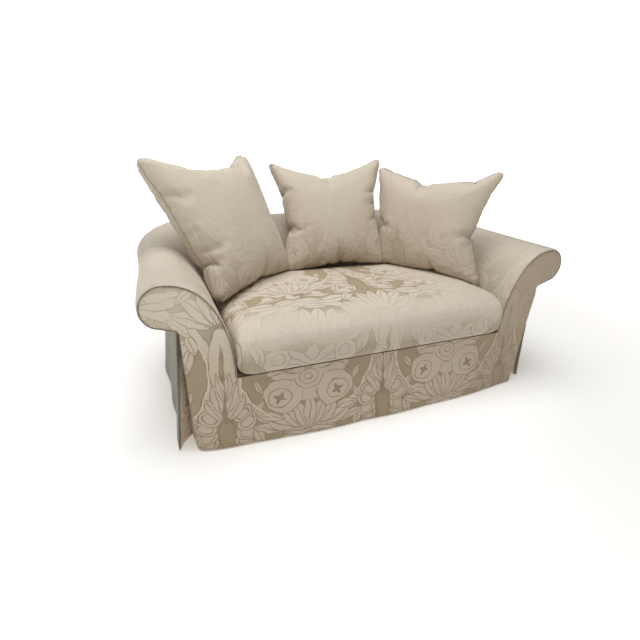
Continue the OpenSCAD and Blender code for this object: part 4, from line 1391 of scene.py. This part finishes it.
def pillow(side, seed, pressure, stiff, bend, thick, sag, quad, full):
    p = POSES[side]
    w, h, th = p[4:7]
    V, F, st, border = pillow_grid(0.56, 0.56, seed)
    ob = mesh_object(side + "_pillow", V, F, None)
    L = pillow_form(st, w, h, th)
    run_cloth(ob, pressure, 40, stiff, bend, quality=6, mass=0.15)
    L = fit_pillow(coords(ob), st, border, quad, th * thick, sag, full)
    uv = np.stack([st[:, 0] * 0.28 + UVOFF[side][0], st[:, 1] * 0.28 + UVOFF[side][1]], 1)
    uv[st[:, 2] > 0, 0] += 1.3
    M = np.array(pose_matrix(p))
    P = L @ M[:3, :3].T + M[:3, 3]
    P = settle(P, F)
    set_coords(ob, P)
    set_uv(ob, uv)
    ob.data.materials.append(PIL)
    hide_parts(side + "_pillow_cover")
    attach(ob, side + "_pillow")
    b = P[border]
    b = np.concatenate([b, b[:1]])
    pts, _ = resample(b, 420)
    v, f, u = tube(pts[:-1], 0.0024, 8)
    s = mesh_object(side + "_pillow_welt", v, f, u)
    s.data.materials.append(PILLOW_CORD)
    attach(s, side + "_pillow")
    # the filling, a little inside the cover and thinner towards the seams
    skin_tree = tree_of(ob)
    P2 = np.array(P)
    for i, n in enumerate(normals(ob)):
        n = Vector(n)
        far = skin_tree.ray_cast(Vector(P[i]) - n * 0.0004, -n)
        gap = far[3] if far[0] is not None else 0.0
        P2[i] = P[i] - np.array(n) * min(0.0045, gap * 0.38)
    mid = P2.mean(0)
    near = np.linalg.norm(P2 - mid, axis=1)
    P2 = P2 - (P2 - mid) * (0.012 * sm((near - 0.10) / 0.2))[:, None]
    ins = mesh_object(side + "_pillow_filling", P2, F, None)
    ins.data.materials.append(WADDING)
    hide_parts(side + "_pillow_insert")
    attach(ins, side + "_pillow")
    return ob


def fit_pillow(C, st, border, quad, th, sag, full):
    """Carries the simulated cloth into the pillow's real outline and thickness; sag is each edge's pull-in: bottom, right, top, left."""
    C = C - C.mean(0)
    s, t = (st[:, 0] + 1) / 2, (st[:, 1] + 1) / 2
    cor = {(a, b): C[int(np.argmin((s - a) ** 2 + (t - b) ** 2))] for a in (0, 1) for b in (0, 1)}
    out = C.copy()
    for (a, b), c in cor.items():
        k = (s if a else 1 - s) * (t if b else 1 - t)
        out += k[:, None] * (np.array(quad[(a, b)]) - c)
    edge = np.zeros(len(st), bool)
    edge[border] = True
    for n, (run, deep, axis, sign, a, b) in enumerate(((s, t, 2, 1, (0, 0), (1, 0)), (t, 1 - s, 0, -1, (1, 0), (1, 1)), (s, 1 - t, 2, -1, (0, 1), (1, 1)), (t, s, 0, 1, (0, 0), (0, 1)))):
        m = edge & (deep < 1e-6)
        f = 4 * run[m] * (1 - run[m])
        line = quad[a][axis] + (quad[b][axis] - quad[a][axis]) * run[m]
        dev = sign * (out[m, axis] - line)
        got = float((f @ dev) / (f @ f))
        out[:, axis] += sign * (sag[n] - got) * (4 * run * (1 - run)) * (1 - deep) ** 1.15
    flat = np.zeros(len(st))
    for (a, b), c in quad.items():
        flat += (s if a else 1 - s) * (t if b else 1 - t) * c[1]
    y = out[:, 1] - flat
    ext = np.percentile(y, 99.5) - np.percentile(y, 0.5)
    top = np.abs(y).max()
    y = np.sign(y) * top * (np.abs(y) / top) ** full
    out[:, 1] = flat + y * th / max(ext, 1e-6)
    return out


def settle(start, F):
    """Keeps a pillow clear of the seat cushion, the arms and the back, and evens the push out so that no single point stands out."""
    P = start.copy()
    for k in range(3):
        for i in range(len(P)):
            q = Vector(P[i])
            hit = cush_tree.find_nearest(q, 0.2)
            if hit[0] is not None and hit[1].z > 0.3:
                d = (q - hit[0]).dot(hit[1])
                if d < 0.0035 and q.z < 0.56:
                    P[i] = np.array(hit[0] + hit[1] * 0.0035)
                    q = Vector(P[i])
            for tr in arms_tree:
                hit = tr.find_nearest(q, 0.08)
                if hit[0] is not None:
                    d = (q - hit[0]).dot(hit[1])
                    if d < 0.0035:
                        P[i] = np.array(hit[0] + hit[1] * 0.0035)
                        q = Vector(P[i])
    push = P - start
    E = np.array([(f[i], f[(i + 1) % len(f)]) for f in F for i in range(len(f))])
    E = np.concatenate([E, E[:, ::-1]])
    many = np.maximum(np.bincount(E[:, 0], minlength=len(P)), 1)[:, None]

    def around(d):
        s = np.zeros_like(d)
        np.add.at(s, E[:, 0], d[E[:, 1]])
        return s / many
    for k in range(12):
        m = around(push)
        odd = np.linalg.norm(push - m, axis=1) > 0.0020
        push[odd] = m[odd]
    for k in range(3):
        push = (push + around(push)) / 2
    P = start + push
    for k in range(2):      # what the evening let sink in comes out again, by no more than the cloth's own thickness
        for i in range(len(P)):
            for n, tr in enumerate([cush_tree] + arms_tree):
                q = Vector(P[i])
                hit = tr.find_nearest(q, 0.006)
                if hit[0] is None or (n == 0 and (hit[1].z < 0.3 or q.z > 0.56)):
                    continue
                d = (q - hit[0]).dot(hit[1])
                if -0.0035 < d < 0.0012:
                    P[i] = np.array(q + hit[1] * (0.0012 - d))
    push = P - start
    for k in range(4):
        m = around(push)
        odd = np.linalg.norm(push - m, axis=1) > 0.0030
        push[odd] = m[odd]
    return start + push


UVOFF = {"left": (0.31, 0.40), "middle": (0.0, 0.33), "right": (0.10, 0.20)}
pillow("left", 3, 8, 20, 0.1, 0.95, (-0.006, 0.000, 0.058, 0.004),
       {(0, 0): (-0.240, 0, -0.288), (1, 0): (0.257, 0, -0.295), (1, 1): (0.305, -0.0251, 0.2625), (0, 1): (-0.284, 0, 0.279)}, 0.72)
pillow("middle", 5, 8, 20, 0.1, 0.98, (-0.004, 0.026, 0.060, 0.040),
       {(0, 0): (-0.266, 0, -0.253), (1, 0): (0.253, 0, -0.242), (1, 1): (0.267, 0, 0.248), (0, 1): (-0.276, 0, 0.245)}, 0.85)
pillow("right", 9, 20, 80, 0.05, 0.98, (-0.004, 0.062, 0.048, -0.010),
       {(0, 0): (-0.254, 0, -0.229), (1, 0): (0.252, 0, -0.256), (1, 1): (0.260, 0, 0.2245), (0, 1): (-0.300, -0.017, 0.213)}, 0.85)

# ---------------------------------------------------------------- carried-over nodes
FINISH = {
    "hardwood": timber_finish("beech_frame", (176, 138, 92), (216, 184, 140), 0),
    "plywood": timber_finish("birch_board", (206, 176, 130), (226, 202, 164), 2, 0.8, 0.6),
    "steel": metal_finish("spring_steel", (0.55, 0.56, 0.58, 1.0), 0.38),
    "zip_brass": metal_finish("aged_brass", (0.62, 0.47, 0.22, 1.0), 0.32),
    "jute": woven_finish("jute_weave", (120, 94, 58), (190, 158, 108), 0.004, 0.93, 0.2),
    "foam": foam_finish("open_foam", (226, 214, 168), (244, 236, 204)),
    "wadding": WADDING,
    "dust_cloth": fleece_finish("black_nonwoven", (12, 12, 13), (34, 34, 36), 400.0),
    "deck_cloth": woven_finish("deck_weave", (150, 134, 108), (178, 162, 134), 0.0022, 0.9, 0.2),
    "zip_tape": woven_finish("zip_tape_weave", (168, 158, 136), (206, 198, 178), 0.0012, 0.85, 0.2),
    "nylon": foam_finish("moulded_nylon", (198, 198, 192), (224, 224, 220)),
}
for name, ob in nodes.items():
    if ob.hide_render:
        continue
    m = FINISH[NODE_SLOT[name]]
    ob.data.materials.clear()
    ob.data.materials.append(m)

# ---------------------------------------------------------------- floor, light and camera
def floor_finish():
    t = Tree("studio_floor")
    c = t.coord()
    n = t.noise(c, 1.2, 2.0, 0.5)
    t.set(base=t.mix(t.ramp(n, 0.2, 0.8), srgb(247, 247, 247), srgb(250, 250, 250)), rough=0.9, spec=0.1)
    d = t.node("ShaderNodeVectorMath", operation="LENGTH")
    t.put(d.inputs[0], c)
    t.put(t.bsdf.inputs["Emission Color"], t.mix(t.ramp(d.outputs["Value"], 1.4, 3.6), (1.0, 0.93, 0.84, 1), (1, 1, 1, 1)))
    t.put(t.bsdf.inputs["Emission Strength"], t.ramp(d.outputs["Value"], 1.1, 3.8, 0.30, 1.05))
    return t.mat


fm = bpy.data.meshes.new("floor")
fm.from_pydata([(-30, -30, 0), (30, -30, 0), (30, 30, 0), (-30, 30, 0)], [], [(0, 1, 2, 3)])
floor = bpy.data.objects.new("floor", fm)
bpy.context.scene.collection.objects.link(floor)
floor.data.materials.append(floor_finish())


def area(name, loc, target, size, power, col=(1, 1, 1), size_y=None):
    d = bpy.data.lights.new(name, "AREA")
    d.shape = "RECTANGLE"
    d.size, d.size_y = size, size_y or size
    d.energy = power
    d.color = col
    o = bpy.data.objects.new(name, d)
    o.location = loc
    o.rotation_euler = (Vector(target) - Vector(loc)).to_track_quat("-Z", "Y").to_euler()
    bpy.context.scene.collection.objects.link(o)
    return o


area("over", (-0.6, -0.45, 3.5), (0.0, -0.1, 0.4), 2.6, 104, (0.95, 0.975, 1.0))
area("rear", (-0.4, 3.2, 2.4), (0.0, -0.1, 0.5), 2.6, 30, (1.0, 0.99, 0.98), 1.4)
area("fill", (-1.6, -3.6, 1.9), (0.0, 0.0, 0.3), 2.0, 3, (1.0, 0.94, 0.86))
w = bpy.context.scene.world or bpy.data.worlds.new("studio")
bpy.context.scene.world = w
w.use_nodes = True
bg = w.node_tree.nodes.get("Background")
wt = w.node_tree
lp = wt.nodes.new("ShaderNodeLightPath")
mx = wt.nodes.new("ShaderNodeMapRange")
mx.inputs["To Min"].default_value = 0.13
mx.inputs["To Max"].default_value = 1.0
wt.links.new(lp.outputs["Is Camera Ray"], mx.inputs["Value"])
wt.links.new(mx.outputs["Result"], bg.inputs[1])
bg.inputs[0].default_value = (1.0, 1.0, 1.0, 1.0)
bpy.context.scene.view_settings.view_transform = "Standard"
bpy.context.scene.view_settings.look = "None"

yaw, pitch, roll = math.radians(23.47), math.radians(23.72), math.radians(2.16)
fwd = Vector((math.sin(yaw) * math.cos(pitch), math.cos(yaw) * math.cos(pitch), -math.sin(pitch)))
rgt = Vector((math.cos(yaw), -math.sin(yaw), 0.0))
up = rgt.cross(fwd)
r2 = math.cos(roll) * rgt + math.sin(roll) * up
u2 = -math.sin(roll) * rgt + math.cos(roll) * up
cam = bpy.data.cameras.new("view")
cam.sensor_width = 36
cam.lens = 36 * 435 / 640
cam.clip_start, cam.clip_end = 0.05, 80
co_ = bpy.data.objects.new("view", cam)
co_.matrix_world = Matrix(((r2.x, u2.x, -fwd.x, -0.8687), (r2.y, u2.y, -fwd.y, -1.7834), (r2.z, u2.z, -fwd.z, 1.1136), (0, 0, 0, 1)))
bpy.context.scene.collection.objects.link(co_)
bpy.context.scene.camera = co_
